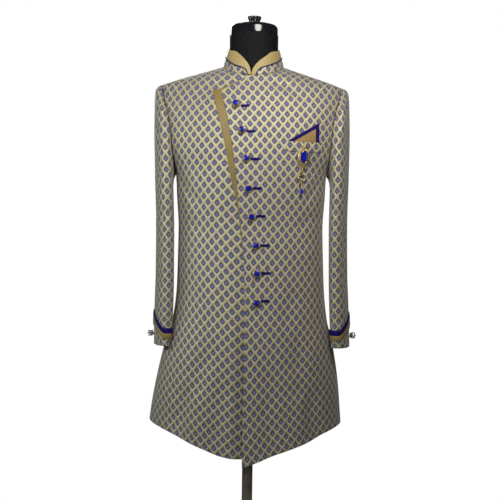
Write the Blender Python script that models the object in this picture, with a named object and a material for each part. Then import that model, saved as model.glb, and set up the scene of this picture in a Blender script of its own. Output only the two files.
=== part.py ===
"""A sherwani coat, buttoned, on a limbless dress form that stands on a pole and a round base plate.

Metres, +Z up. The wearer's front faces -Y and the wearer's left is +X. The origin is the centre of
the base plate's underside, on the pole's axis.

The coat's panels all lie on one surface: level oval sections from hem to shoulder, then a yoke that
runs from the shoulder section in to the neckline. A place on it is (q, h). q is the share of the way
round: 0 centre front, 1 left side seam, 2 centre back and -1 right side seam. h is the height up to the
shoulder section, and the share of the yoke above it.
"""

import math

import bpy
import numpy as np
from mathutils import Matrix, Vector

for old in list(bpy.data.objects):
    bpy.data.objects.remove(old, do_unlink=True)

# ---------------------------------------------------------------- driving sizes

CLOTH_WALL = 0.0020
TRIM_WALL = 0.0012
SEAM_GAP = 0.0003
LAP_GAP = 0.0008
TRIM_GAP = 0.0005
ARMHOLE_GAP = 0.0010

SHOULDER_HEIGHT = 1.305
ARMPIT_HEIGHT = 1.085
YOKE_SPAN = 0.050
YOKE_CROWN = 0.0055
CUFF_HEIGHT = 0.665

# height, half width at the side seam, depth of front, depth of back, squareness of the oval
BODY_SECTIONS = (
    (0.385, 0.2470, 0.1660, 0.1720, 2.10),
    (0.485, 0.2375, 0.1580, 0.1640, 2.12),
    (0.555, 0.2295, 0.1515, 0.1575, 2.15),
    (0.640, 0.2149, 0.1440, 0.1490, 2.20),
    (0.690, 0.2030, 0.1395, 0.1430, 2.22),
    (0.730, 0.1920, 0.1355, 0.1380, 2.25),
    (0.805, 0.1834, 0.1290, 0.1280, 2.28),
    (0.880, 0.1809, 0.1240, 0.1150, 2.30),
    (0.955, 0.1795, 0.1210, 0.1070, 2.30),
    (1.030, 0.1840, 0.1250, 0.1135, 2.35),
    (1.085, 0.1870, 0.1270, 0.1210, 2.40),
    (1.130, 0.2030, 0.1260, 0.1250, 2.40),
    (1.162, 0.2140, 0.1230, 0.1250, 2.38),
    (1.195, 0.2210, 0.1180, 0.1230, 2.30),
    (1.230, 0.2270, 0.1100, 0.1180, 2.16),
    (1.262, 0.2330, 0.1000, 0.1120, 1.98),
    (1.285, 0.2320, 0.0915, 0.1060, 1.80),
    (1.305, 0.2240, 0.0820, 0.1010, 1.62),
)

# height, how far the level section's middle hangs towards the wearer's left
BODY_LEAN = (
    (0.385, -0.0085),
    (0.485, -0.0075),
    (0.615, -0.0028),
    (0.775, 0.0010),
    (0.955, -0.0005),
    (1.100, -0.0010),
    (1.305, -0.0030),
)

# height, distance of the armhole seam from the middle
ARMHOLE = (
    (1.085, 0.1870),
    (1.105, 0.1890),
    (1.130, 0.1915),
    (1.162, 0.1950),
    (1.195, 0.1985),
    (1.224, 0.2030),
    (1.246, 0.2085),
    (1.262, 0.2135),
    (1.285, 0.2190),
    (1.305, 0.2240),
)

NECK_HALF_WIDTH = 0.0750
NECK_DEPTH = 0.0720
NECK_SHIFT = 0.0015
# share round from centre front (0) to centre back (2), height of the neckline
NECKLINE = ((0.0, 1.3250), (0.5, 1.3360), (1.0, 1.3570), (2.0, 1.3660))

# height, where the left front's closing edge runs
CLOSING_EDGE = (
    (0.390, -0.0125),
    (0.500, -0.0125),
    (0.600, -0.0110),
    (0.746, -0.0105),
    (0.810, -0.0125),
    (0.855, -0.0140),
    (0.890, -0.0155),
    (0.938, -0.0205),
    (0.983, -0.0262),
    (1.043, -0.0325),
    (1.097, -0.0385),
    (1.139, -0.0445),
    (1.182, -0.0525),
    (1.217, -0.0590),
    (1.248, -0.0670),
    (1.285, -0.0755),
)
LAPEL_CORNER_HEIGHT = 1.285
LAPEL_TOP_X = -0.0055
# the right front sinks a cloth's thickness between these distances outside the left front's edge
LAP_START = 0.024
LAP_FULL = 0.004

# height, where the right front's own edge lies hidden under the left front
HIDDEN_EDGE = (
    (0.390, 0.0330),
    (0.900, 0.0330),
    (1.000, 0.0220),
    (1.150, 0.0060),
    (1.250, -0.0040),
    (1.305, 0.0040),
)

# distance from the middle, height of the hem there
LEFT_HEM = (
    (-0.0140, 0.3885),
    (-0.0067, 0.3910),
    (0.0180, 0.4000),
    (0.0530, 0.4144),
    (0.1000, 0.4300),
    (0.1480, 0.4465),
    (0.1850, 0.4620),
    (0.2200, 0.4730),
    (0.2400, 0.4790),
)
RIGHT_HEM = (
    (-0.2500, 0.4790),
    (-0.2426, 0.4764),
    (-0.2147, 0.4690),
    (-0.1740, 0.4550),
    (-0.1370, 0.4405),
    (-0.1005, 0.4270),
    (-0.0650, 0.4145),
    (-0.0290, 0.4090),
    (0.0400, 0.4080),
)
BACK_HEM_MIDDLE = 0.440
BACK_HEM_LEFT = 0.4775
BACK_HEM_RIGHT = 0.4770

# height, middle out from the centre, half thickness, middle forward, half depth
SLEEVE_SECTIONS = (
    (0.640, 0.2165, 0.0262, -0.0260, 0.0560),
    (0.700, 0.2165, 0.0262, -0.0240, 0.0580),
    (0.775, 0.2155, 0.0258, -0.0190, 0.0610),
    (0.835, 0.2145, 0.0252, -0.0140, 0.0640),
    (0.925, 0.2145, 0.0250, -0.0080, 0.0690),
    (1.000, 0.2155, 0.0252, -0.0040, 0.0735),
    (1.085, 0.2180, 0.0258, 0.0000, 0.0770),
    (1.195, 0.2195, 0.0268, 0.0020, 0.0770),
    (1.305, 0.2170, 0.0272, 0.0020, 0.0740),
)
SLEEVE_SQUARENESS = 2.3
# height, how far both sleeves hang towards the wearer's left of the body's middle
SLEEVE_LEAN = ((0.640, 0.0070), (0.775, 0.0044), (0.970, 0.0020), (1.150, 0.0002), (1.305, -0.0020))
SLEEVE_HEAD_ROLL = 0.016
SLEEVE_CLEARANCE = 0.0036
PUSH_SOFTNESS = 0.008

# share of the drop from armhole to cuff at each ring of a sleeve; the last rings run along the cuff's bands
SLEEVE_DROPS = (
    0.0, 0.014, 0.032, 0.058, 0.095, 0.145, 0.210, 0.290, 0.380,
    0.470, 0.560, 0.650, 0.740, 0.830, 0.9180, 0.9443, 0.9666, 1.0,
)
# share of the drop by which a sleeve's rings have become level
SLEEVE_LEVEL_OUT = 0.75

ARMHOLE_STEPS = 12
# heights shared by every panel between its hem and the armpit
SKIRT_LEVELS = (0.530, 0.590, 0.648, 0.702, 0.755, 0.815, 0.880, 0.935, 0.985, 1.035)
YOKE_STEPS = 4
LAPEL_COLUMNS = 4
LEFT_COLUMNS = 15
RIGHT_COLUMNS = 10
BACK_COLUMNS = 20
RING_SAMPLES = 181

# ---------------------------------------------------------------- small helpers


def smooth_curve(rows, column=1):
    """A smooth function through a table's rows that never overshoots them."""
    places = np.array([row[0] for row in rows], float)
    values = np.array([row[column] for row in rows], float)
    steps = np.diff(places)
    slopes = np.diff(values) / steps
    tangents = np.zeros_like(values)
    tangents[0] = slopes[0]
    tangents[-1] = slopes[-1]
    for i in range(1, len(values) - 1):
        if slopes[i - 1] * slopes[i] > 0:
            before = 2 * steps[i] + steps[i - 1]
            after = steps[i] + 2 * steps[i - 1]
            tangents[i] = (before + after) / (before / slopes[i - 1] + after / slopes[i])

    def at(place):
        place = float(np.clip(place, places[0], places[-1]))
        i = int(np.clip(np.searchsorted(places, place) - 1, 0, len(steps) - 1))
        t = (place - places[i]) / steps[i]
        start = values[i] * (1 + 2 * t) * (1 - t) ** 2 + steps[i] * tangents[i] * t * (1 - t) ** 2
        end = values[i + 1] * t * t * (3 - 2 * t) + steps[i] * tangents[i + 1] * t * t * (t - 1)
        return start + end

    return at


def mix(a, b, t):
    return a + (b - a) * t


def unit(vector):
    return vector / np.linalg.norm(vector)


half_width_at = smooth_curve(BODY_SECTIONS, 1)
front_depth_at = smooth_curve(BODY_SECTIONS, 2)
back_depth_at = smooth_curve(BODY_SECTIONS, 3)
squareness_at = smooth_curve(BODY_SECTIONS, 4)
lean_at = smooth_curve(BODY_LEAN)
armhole_at = smooth_curve(ARMHOLE)
neckline_at = smooth_curve(NECKLINE)
closing_edge_at = smooth_curve(CLOSING_EDGE)
hidden_edge_at = smooth_curve(HIDDEN_EDGE)
left_hem_at = smooth_curve(LEFT_HEM)
right_hem_at = smooth_curve(RIGHT_HEM)

# ---------------------------------------------------------------- the coat's surface


def oval(half_width, front, back, squareness):
    """Half a level oval from centre front round the left side to centre back: x, y and q of its points."""
    angle = np.linspace(0, math.pi, RING_SAMPLES)
    depth = np.where(angle <= math.pi / 2, front, back)
    across = (np.abs(np.sin(angle)) / half_width) ** squareness
    along = (np.abs(np.cos(angle)) / depth) ** squareness
    radius = (across + along) ** (-1 / squareness)
    x = radius * np.sin(angle)
    y = -radius * np.cos(angle)
    length = np.concatenate([[0], np.cumsum(np.hypot(np.diff(x), np.diff(y)))])
    side = length[RING_SAMPLES // 2]
    q = np.where(length <= side, length / side, 1 + (length - side) / (length[-1] - side))
    return x, y, q


RINGS = {}


def ring(height):
    key = round(height, 6)
    if key not in RINGS:
        sizes = [at(height) for at in (half_width_at, front_depth_at, back_depth_at, squareness_at)]
        RINGS[key] = oval(*sizes)
    return RINGS[key]


NECK_RING = oval(NECK_HALF_WIDTH, NECK_DEPTH, NECK_DEPTH, 2.0)


def on_ring(points, q):
    """x and y at the share q round an oval."""
    q = (q + 2) % 4 - 2
    x, y, share = points
    return math.copysign(float(np.interp(abs(q), share, x)), q), float(np.interp(abs(q), share, y))


def neckline(q):
    q = (q + 2) % 4 - 2
    x, y = on_ring(NECK_RING, q)
    return np.array([x + NECK_SHIFT, y, neckline_at(abs(q))])


def surface(q, h):
    """The point of the coat's outer surface at (q, h)."""
    level = min(h, SHOULDER_HEIGHT)
    x, y = on_ring(ring(level), q)
    point = np.array([x + lean_at(level), y, level])
    if h > SHOULDER_HEIGHT:
        rise = (h - SHOULDER_HEIGHT) / YOKE_SPAN
        point = mix(point, neckline(q), rise)
        point[2] += YOKE_CROWN * 4 * rise * (1 - rise) * abs(math.sin(math.pi * q))
    return point


def outward(q, h):
    """The surface's unit normal, pointing away from the body."""
    step_q = 0.02
    step_h = 0.004
    top = SHOULDER_HEIGHT + YOKE_SPAN
    across = surface(q + step_q, h) - surface(q - step_q, h)
    up = surface(q, min(top, h + step_h)) - surface(q, h - step_h)
    return unit(np.cross(across, up))


def lifted(q, h, lift):
    return surface(q, h) + outward(q, h) * lift


def q_of_front(x, h):
    """The share q at which the front's section at height h passes x."""
    places, _, share = ring(min(h, SHOULDER_HEIGHT))
    quarter = RING_SAMPLES // 2 + 1
    x = x - lean_at(min(h, SHOULDER_HEIGHT))
    return math.copysign(float(np.interp(abs(x), places[:quarter], share[:quarter])), x)


def q_on_neckline(x):
    quarter = RING_SAMPLES // 2 + 1
    places, _, share = NECK_RING
    x = x - NECK_SHIFT
    return math.copysign(float(np.interp(abs(x), places[:quarter], share[:quarter])), x)


def front_place(x, z):
    """(q, h) of the front's point that stands at x and z, found by a few Newton steps."""
    h = z
    q = q_of_front(x, h)
    step = 0.0005
    for _ in range(12):
        here = surface(q, h)
        miss = np.array([x - here[0], z - here[2]])
        if np.abs(miss).max() < 1e-7:
            break
        by_q = (surface(q + step, h) - here) / step
        by_h = (surface(q, h + step) - here) / step
        slopes = np.array([[by_q[0], by_h[0]], [by_q[2], by_h[2]]])
        change = np.linalg.solve(slopes, miss)
        q += change[0]
        h = min(h + change[1], SHOULDER_HEIGHT + YOKE_SPAN)
    return q, h


def lap_line(t, distance):
    """(q, h) a share t of the way up the lapel's slanted top edge, at a distance outside that edge."""
    low = (closing_edge_at(LAPEL_CORNER_HEIGHT) - distance, LAPEL_CORNER_HEIGHT)
    slant = 1.15
    top_x = LAPEL_TOP_X - distance * slant
    top = (top_x, neckline(q_on_neckline(top_x))[2])
    return front_place(mix(low[0], top[0], t), mix(low[1], top[1], t))


def lap_drop(distance):
    """How far the right front has sunk at a distance outside the left front's edge."""
    share = (LAP_START - distance) / (LAP_START - LAP_FULL)
    return (CLOTH_WALL + LAP_GAP) * min(1.0, max(0.0, share))


# ---------------------------------------------------------------- meshes


def new_object(name, points, faces, material, smooth=True):
    mesh = bpy.data.meshes.new(name)
    mesh.from_pydata([tuple(point) for point in points], [], faces)
    mesh.update()
    if smooth:
        mesh.shade_smooth()
        mesh.set_sharp_from_angle(angle=math.radians(40))
    mesh.materials.append(material)
    made = bpy.data.objects.new(name, mesh)
    bpy.context.scene.collection.objects.link(made)
    return made


def wall(name, outer, inner, material, tube=False):
    """A closed wall between two grids of points, which are lists of rows; a tube's rows run all round."""
    rows = len(outer)
    columns = len(outer[0])
    points = [point for row in outer for point in row]
    points += [point for row in inner for point in row]
    inside = rows * columns

    def at(row, column):
        return row * columns + column % columns

    faces = []
    spans = columns if tube else columns - 1
    for row in range(rows - 1):
        for column in range(spans):
            a, b = at(row, column), at(row, column + 1)
            c, d = at(row + 1, column + 1), at(row + 1, column)
            faces.append((a, b, c, d))
            faces.append((inside + d, inside + c, inside + b, inside + a))
    for column in range(spans):
        low, high = at(0, column), at(0, column + 1)
        faces.append((low, inside + low, inside + high, high))
        low, high = at(rows - 1, column), at(rows - 1, column + 1)
        faces.append((high, inside + high, inside + low, low))
    if not tube:
        for row in range(rows - 1):
            low, high = at(row, 0), at(row + 1, 0)
            faces.append((high, inside + high, inside + low, low))
            low, high = at(row, columns - 1), at(row + 1, columns - 1)
            faces.append((low, inside + low, inside + high, high))
    return new_object(name, points, faces, material)


def stacked_rings(name, rings, material, smooth=True):
    """A closed solid through rings of equally many points, each counted anticlockwise from above."""
    count = len(rings[0])
    points = [point for one in rings for point in one]
    faces = []
    for row in range(len(rings) - 1):
        for column in range(count):
            after = (column + 1) % count
            low, high = row * count, (row + 1) * count
            faces.append((low + column, low + after, high + after, high + column))
    faces.append(tuple(reversed(range(count))))
    last = (len(rings) - 1) * count
    faces.append(tuple(range(last, last + count)))
    return new_object(name, points, faces, material, smooth)


def turned(name, profile, sides, material, place=None, smooth=True):
    """A solid turned about its own Z from (radius, height) pairs listed upwards, set at a place matrix."""
    rings = []
    for radius, height in profile:
        one = []
        for i in range(sides):
            turn = 2 * math.pi * i / sides
            one.append((radius * math.cos(turn), radius * math.sin(turn), height))
        rings.append(one)
    made = stacked_rings(name, rings, material, smooth)
    if place is not None:
        made.matrix_world = place
    return made


def cloth_material(name, colour, roughness, sheen=0.2):
    material = bpy.data.materials.new(name)
    material.use_nodes = True
    shader = material.node_tree.nodes["Principled BSDF"]
    shader.inputs["Base Color"].default_value = (*colour, 1)
    shader.inputs["Roughness"].default_value = roughness
    shader.inputs["Sheen Weight"].default_value = sheen
    return material


def hard_material(name, colour, roughness, metallic):
    material = cloth_material(name, colour, roughness, 0.0)
    material.node_tree.nodes["Principled BSDF"].inputs["Metallic"].default_value = metallic
    return material


# ---------------------------------------------------------------- materials

BROCADE = cloth_material("lozenge_brocade", (0.52, 0.46, 0.26), 0.62)
GOLD_SATIN = cloth_material("gold_satin", (0.58, 0.42, 0.14), 0.42)
NAVY_SATIN = cloth_material("navy_satin", (0.018, 0.010, 0.14), 0.45)
OLD_GOLD = hard_material("old_gold", (0.60, 0.44, 0.20), 0.28, 1.0)
BLUE_STONE = hard_material("blue_stone", (0.010, 0.030, 0.55), 0.08, 0.0)
BLACK_COVER = cloth_material("black_cover", (0.010, 0.010, 0.011), 0.75)
BLACK_GLOSS = hard_material("black_gloss", (0.006, 0.006, 0.008), 0.12, 0.0)
DARK_STEEL = hard_material("dark_steel", (0.16, 0.15, 0.14), 0.32, 1.0)

# ---------------------------------------------------------------- where the panels' edges run

ARMHOLE_MIDDLE = (SHOULDER_HEIGHT + ARMPIT_HEIGHT) / 2
ARMHOLE_HALF = (SHOULDER_HEIGHT - ARMPIT_HEIGHT) / 2
ARMHOLE_HEIGHTS = [
    ARMHOLE_MIDDLE - ARMHOLE_HALF * math.cos(math.pi * step / ARMHOLE_STEPS)
    for step in range(ARMHOLE_STEPS + 1)
]
TOP = SHOULDER_HEIGHT + YOKE_SPAN
LEFT_YOKE_START = 1.272
FRONT_QUARTER = RING_SAMPLES // 2


def seam_share(h):
    """Half a seam's gap, as a share of a quarter of the way round."""
    x, y, _ = ring(min(h, SHOULDER_HEIGHT))
    quarter = 0.5 * math.pi * math.hypot(x.max(), abs(y[0])) / math.sqrt(2)
    return 0.5 * SEAM_GAP / quarter


def armhole_share(h, back):
    """The share q at which the armhole's seam crosses the section at height h, or the side seam below it."""
    if h <= ARMPIT_HEIGHT or h >= SHOULDER_HEIGHT:
        return 1.0
    places, _, share = ring(h)
    side = armhole_at(h)
    if back:
        return float(np.interp(-side, -places[FRONT_QUARTER:], share[FRONT_QUARTER:]))
    return float(np.interp(side, places[: FRONT_QUARTER + 1], share[: FRONT_QUARTER + 1]))


def outer_edge(h, back=False):
    share = armhole_share(h, back)
    return share + seam_share(h) if back else share - seam_share(h)


def skirt_levels(hem):
    return [hem, mix(hem, SKIRT_LEVELS[0], 0.5), *SKIRT_LEVELS]


def column_levels(hem, share, yoke_start):
    """Heights of a front column's points up to the yoke; share is 0 at its inner edge and 1 at the armhole."""
    levels = skirt_levels(hem)
    for height in ARMHOLE_HEIGHTS:
        rise = (height - ARMPIT_HEIGHT) / (SHOULDER_HEIGHT - ARMPIT_HEIGHT)
        inner = mix(ARMPIT_HEIGHT, yoke_start, rise)
        levels.append(mix(inner, height, share))
    return levels


def hem_height(hem_at, q):
    """The hem's height at the share q, where x is read a little above it."""
    return hem_at(surface(q, 0.43)[0])


def left_front_columns():
    """Columns of (q, h) from the closing edge to the side, each listed from the hem up."""
    columns = []
    for step in range(LEFT_COLUMNS + 1):
        share = step / LEFT_COLUMNS
        q_low = mix(q_of_front(closing_edge_at(0.43), 0.43), 1.0, share)
        levels = column_levels(hem_height(left_hem_at, q_low), share, LEFT_YOKE_START)
        column = []
        for h in levels:
            inner = q_of_front(closing_edge_at(h), h)
            column.append((mix(inner, outer_edge(h), share), h))
        if step <= LAPEL_COLUMNS:
            top = lap_line(step / LAPEL_COLUMNS, 0.0)
        else:
            along = (step - LAPEL_COLUMNS) / (LEFT_COLUMNS - LAPEL_COLUMNS)
            top = (mix(q_on_neckline(LAPEL_TOP_X), outer_edge(TOP), along), TOP)
        start = column[-1]
        for row in range(1, YOKE_STEPS + 1):
            t = row / YOKE_STEPS
            column.append((mix(start[0], top[0], t), mix(start[1], top[1], t)))
        columns.append(column)
    return columns


def right_front_columns():
    """Columns of (q, h, sink) from the side to the hidden edge, each listed from the hem up."""
    columns = []
    for step in range(RIGHT_COLUMNS + 1):
        share = 1 - step / RIGHT_COLUMNS
        q_low = mix(q_of_front(closing_edge_at(0.43) - LAP_START, 0.43), -1.0, share)
        levels = column_levels(hem_height(right_hem_at, q_low), share, LEFT_YOKE_START)
        column = []
        for h in levels:
            inner = q_of_front(closing_edge_at(h) - LAP_START, h)
            column.append((mix(inner, -outer_edge(h), share), h, 0.0))
        for row in range(YOKE_STEPS + 1):
            inner_q, inner_h = lap_line(row / YOKE_STEPS, LAP_START)
            outer_h = mix(SHOULDER_HEIGHT, TOP, (row + 1) / (YOKE_STEPS + 1))
            q = mix(inner_q, -outer_edge(outer_h), share)
            column.append((q, mix(inner_h, outer_h, share), 0.0))
        columns.append(column)
    for distance in (LAP_FULL, 0.0):
        hem = right_hem_at(closing_edge_at(0.43) - distance)
        column = []
        for h in column_levels(hem, 0.0, LEFT_YOKE_START):
            column.append((q_of_front(closing_edge_at(h) - distance, h), h, 1.0))
        for row in range(YOKE_STEPS + 1):
            column.append((*lap_line(row / YOKE_STEPS, distance), 1.0))
        columns.append(column)
    column = []
    for h in column_levels(right_hem_at(0.03), 0.0, LEFT_YOKE_START):
        column.append((q_of_front(hidden_edge_at(h), h), h, 1.0))
    start = column[-1]
    top = (q_on_neckline(hidden_edge_at(SHOULDER_HEIGHT)), TOP)
    for row in range(YOKE_STEPS + 1):
        t = (row + 1) / (YOKE_STEPS + 1)
        column.append((mix(start[0], top[0], t), mix(start[1], top[1], t), 1.0))
    columns.append(column)
    return columns


def back_columns():
    """Columns of (q, h) from the left side seam round the back to the right one."""
    columns = []
    for step in range(BACK_COLUMNS + 1):
        q_low = mix(1.0, 3.0, step / BACK_COLUMNS)
        near_side = abs(q_low - 2)
        side_hem = BACK_HEM_LEFT if q_low < 2 else BACK_HEM_RIGHT
        hem = mix(BACK_HEM_MIDDLE, side_hem, near_side ** 2)
        levels = skirt_levels(hem) + ARMHOLE_HEIGHTS
        levels += [mix(SHOULDER_HEIGHT, TOP, row / YOKE_STEPS) for row in range(1, YOKE_STEPS + 1)]
        column = []
        for h in levels:
            edge = outer_edge(h, back=True)
            column.append((mix(edge, 4 - edge, step / BACK_COLUMNS), h))
        columns.append(column)
    return columns


def panel(name, columns, material=BROCADE, lift=0.0, thickness=CLOTH_WALL):
    """A wall on the coat's surface through columns of (q, h) or (q, h, sink)."""
    outer = []
    inner = []
    for row in range(len(columns[0])):
        outer_row = []
        inner_row = []
        for column in columns:
            q, h, *sunk = column[row]
            drop = (CLOTH_WALL + LAP_GAP) * (sunk[0] if sunk else 0.0)
            here = surface(q, h)
            normal = outward(q, h)
            outer_row.append(here + normal * (lift - drop))
            inner_row.append(here + normal * (lift - drop - thickness))
        outer.append(outer_row)
        inner.append(inner_row)
    return wall(name, outer, inner, material)


def build_panels():
    panel("front_left", left_front_columns())
    panel("front_right", right_front_columns())
    panel("back", back_columns())


# ---------------------------------------------------------------- sleeves

sleeve_middle_at = smooth_curve(SLEEVE_SECTIONS, 1)
sleeve_thickness_at = smooth_curve(SLEEVE_SECTIONS, 2)
sleeve_forward_at = smooth_curve(SLEEVE_SECTIONS, 3)
sleeve_depth_at = smooth_curve(SLEEVE_SECTIONS, 4)
sleeve_lean_at = smooth_curve(SLEEVE_LEAN)


def armhole_point(side, turn):
    """The armhole's seam, where turn is 0 at the shoulder tip, a quarter turn at the front and half at the pit."""
    h = ARMHOLE_MIDDLE + ARMHOLE_HALF * math.cos(turn)
    back = turn > math.pi
    share = armhole_share(h, back)
    return surface(side * share, h)


def body_side(side, y, z):
    """How far out the coat's body reaches at y and z, on that side."""
    h = min(z, SHOULDER_HEIGHT)
    depth = front_depth_at(h) if y < 0 else back_depth_at(h)
    power = squareness_at(h)
    share = min(0.999, abs(y) / depth)
    return half_width_at(h) * (1 - share ** power) ** (1 / power) + side * lean_at(h)


def hanging_point(side, turn, z):
    """A point of the hanging sleeve's flattened section at height z, kept clear of the coat's body."""
    power = 2 / SLEEVE_SQUARENESS
    across = math.copysign(abs(math.cos(turn)) ** power, math.cos(turn))
    along = math.copysign(abs(math.sin(turn)) ** power, math.sin(turn))
    out = sleeve_middle_at(z) + side * sleeve_lean_at(z) + sleeve_thickness_at(z) * across
    y = sleeve_forward_at(z) - sleeve_depth_at(z) * along
    if z < ARMPIT_HEIGHT:
        limit = body_side(side, y, z) + SLEEVE_CLEARANCE
        out = 0.5 * (out + limit + math.hypot(out - limit, PUSH_SOFTNESS))
    return np.array([side * out, y, z])


def sleeve_point(side, turn, share):
    """A point a share of the way from the armhole down to the cuff."""
    start = armhole_point(side, turn) + np.array([side * ARMHOLE_GAP, 0, 0])
    if share == 0:
        return start
    tilt = max(0.0, 1 - share / SLEEVE_LEVEL_OUT) ** 1.5
    z = mix(ARMHOLE_MIDDLE, CUFF_HEIGHT, share) + (start[2] - ARMHOLE_MIDDLE) * tilt
    hung = hanging_point(side, turn, z)
    settled = 1 - math.exp(-(start[2] - z) / SLEEVE_HEAD_ROLL)
    point = mix(start, hung, settled)
    point[2] = z
    return point


SLEEVE_COLUMNS = 2 * ARMHOLE_STEPS


def thickened(outer, thickness, tube):
    """The grid moved inward along its own normals; rows run up and columns run anticlockwise from above."""
    grid = np.array(outer)
    if tube:
        across = np.roll(grid, -1, axis=1) - np.roll(grid, 1, axis=1)
    else:
        across = np.gradient(grid, axis=1)
    up = np.gradient(grid, axis=0)
    normal = np.cross(across, up)
    normal /= np.linalg.norm(normal, axis=2, keepdims=True)
    return [list(row) for row in grid - normal * thickness]


def sleeve_turns(side, count):
    """Turns round a sleeve in the order that keeps the wall's outside out."""
    turns = [2 * math.pi * step / count for step in range(count)]
    return [-turn % (2 * math.pi) for turn in turns] if side > 0 else turns


def build_sleeve(side, name):
    rows = []
    for share in reversed(SLEEVE_DROPS):
        rows.append([sleeve_point(side, turn, share) for turn in sleeve_turns(side, SLEEVE_COLUMNS)])
    wall(name, rows, thickened(rows, CLOTH_WALL, tube=True), BROCADE, tube=True)


# ---------------------------------------------------------------- cuffs

CUFF_BAND_HEIGHT = 0.7015
NAVY_BAND_WIDTH = 0.0125
GOLD_BAND_WIDTH = 0.0115
CUFF_PEAK = 0.075
CUFF_PEAK_REACH = math.radians(80)
CUFF_COLUMNS = SLEEVE_COLUMNS
CUFF_BUTTON_HEIGHT = 0.692
CUFF_GAP = 0.0013
# radius, height of the ball button on each cuff
CUFF_BALL = ((0.0036, 0.0), (0.0062, 0.0022), (0.0080, 0.0060), (0.0066, 0.0106), (0.0028, 0.0134))
BAND_GAP = 0.0009


def sleeve_chord(side, turn, z):
    """The point at height z on the straight stretches between a sleeve's rings."""
    points = np.array([sleeve_point(side, turn, share) for share in SLEEVE_DROPS[-5:]])
    order = points[::-1]
    return np.array([np.interp(z, order[:, 2], order[:, 0]), np.interp(z, order[:, 2], order[:, 1]), z])


def sleeve_skin(side, turn, z, lift):
    """A point lifted off the hanging part of a sleeve."""
    step = 0.01
    here = sleeve_chord(side, turn, z)
    around = 2 * math.pi / SLEEVE_COLUMNS
    across = sleeve_chord(side, turn + around, z) - sleeve_chord(side, turn - around, z)
    up = sleeve_chord(side, turn, z + step) - sleeve_chord(side, turn, z - step)
    normal = unit(np.cross(up, across)) * side
    return here + normal * lift


def cuff_rise(turn):
    """How far the cuff's bands rise at a turn; they come to a point at the sleeve's outer side."""
    away = abs((turn + math.pi) % (2 * math.pi) - math.pi)
    return CUFF_PEAK * max(0.0, 1 - away / CUFF_PEAK_REACH) ** 1.3


def build_cuff_band(side, name, low, high, material):
    rows = {CUFF_GAP: [], CUFF_GAP + TRIM_WALL: []}
    for lift, grid in rows.items():
        for share in (0.0, 1.0):
            row = []
            for turn in sleeve_turns(side, CUFF_COLUMNS):
                z = mix(low, high, share) + cuff_rise(turn)
                row.append(sleeve_skin(side, turn, z, lift))
            grid.append(row)
    wall(name, rows[CUFF_GAP + TRIM_WALL], rows[CUFF_GAP], material, tube=True)


def axes_place(origin, out, up_hint=(0, 0, 1)):
    """A matrix whose Z points along out and whose Y points as nearly up as it can."""
    z = Vector(out).normalized()
    x = Vector(up_hint).cross(z).normalized()
    y = z.cross(x)
    place = Matrix((x, y, z)).transposed().to_4x4()
    place.translation = Vector(origin)
    return place


def build_cuff_button(side, name):
    """A ball button standing on the sleeve's outer side."""
    base = sleeve_skin(side, 0.0, CUFF_BUTTON_HEIGHT, TRIM_GAP)
    out = base - sleeve_skin(side, 0.0, CUFF_BUTTON_HEIGHT, 0.0)
    turned(name, CUFF_BALL, 12, OLD_GOLD, axes_place(base, out))


def build_cuffs():
    for side, word in ((1, "left"), (-1, "right")):
        navy_low = CUFF_BAND_HEIGHT - NAVY_BAND_WIDTH / 2
        navy_high = CUFF_BAND_HEIGHT + NAVY_BAND_WIDTH / 2
        gold_high = navy_low - BAND_GAP
        build_cuff_band(side, f"cuff_navy_{word}", navy_low, navy_high, NAVY_SATIN)
        build_cuff_band(side, f"cuff_gold_{word}", gold_high - GOLD_BAND_WIDTH, gold_high, GOLD_SATIN)
        build_cuff_button(side, f"cuff_button_{word}")


# ---------------------------------------------------------------- collar

COLLAR_WALL = 0.0016
PIPING_RADIUS = 0.0011
PIPING_SIDES = 5
COLLAR_GAP = 0.0010
COLLAR_TOP_HALF_WIDTH = 0.0636
COLLAR_TOP_FRONT = 0.0632
COLLAR_TOP_BACK = 0.0636
COLLAR_TOP_RING = oval(COLLAR_TOP_HALF_WIDTH, COLLAR_TOP_FRONT, COLLAR_TOP_BACK, 2.0)
# share round from the front, height of the collar's full cone
collar_top_at = smooth_curve(((0.0, 1.3960), (1.0, 1.4000), (2.0, 1.4040)))

# distance from the middle, height: the curved front edge of each half, from the neck point upwards
COLLAR_EDGE_RIGHT = (
    (-0.0053, 1.3255),
    (-0.0064, 1.3360),
    (-0.0100, 1.3490),
    (-0.0180, 1.3615),
    (-0.0300, 1.3750),
    (-0.0450, 1.3880),
)
COLLAR_EDGE_LEFT = (
    (-0.0045, 1.3255),
    (0.0000, 1.3420),
    (0.0058, 1.3510),
    (0.0160, 1.3620),
    (0.0310, 1.3740),
    (0.0470, 1.3870),
)
# the same for the seam between the gold band and the brocade stand
COLLAR_SEAM_RIGHT = (
    (-0.0132, 1.3260),
    (-0.0158, 1.3350),
    (-0.0200, 1.3415),
    (-0.0310, 1.3470),
    (-0.0430, 1.3520),
    (-0.0550, 1.3605),
)
COLLAR_SEAM_LEFT = (
    (0.0062, 1.3260),
    (0.0121, 1.3370),
    (0.0193, 1.3440),
    (0.0340, 1.3500),
    (0.0480, 1.3565),
    (0.0600, 1.3640),
)
COLLAR_SIDE_START = 0.70
COLLAR_SIDE_STEPS = 20
COLLAR_LEVEL_OUT = 0.36
COLLAR_SEAM_SHARE = 0.52
# half the gap at a seam as a share of the collar's height, and the stand's ends' clearance as a share round
COLLAR_SEAM_CLEAR = SEAM_GAP / 0.060
STAND_END_CLEAR = 0.0104


def collar_point(q, w):
    """The collar's outer surface: w is 0 at the neckline and 1 at the full cone's top."""
    base = neckline(q) + np.array([0, 0, COLLAR_GAP])
    x, y = on_ring(COLLAR_TOP_RING, q)
    folded = (q + 2) % 4 - 2
    top = np.array([x + NECK_SHIFT, y, collar_top_at(abs(folded))])
    return mix(base, top, w)


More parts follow.
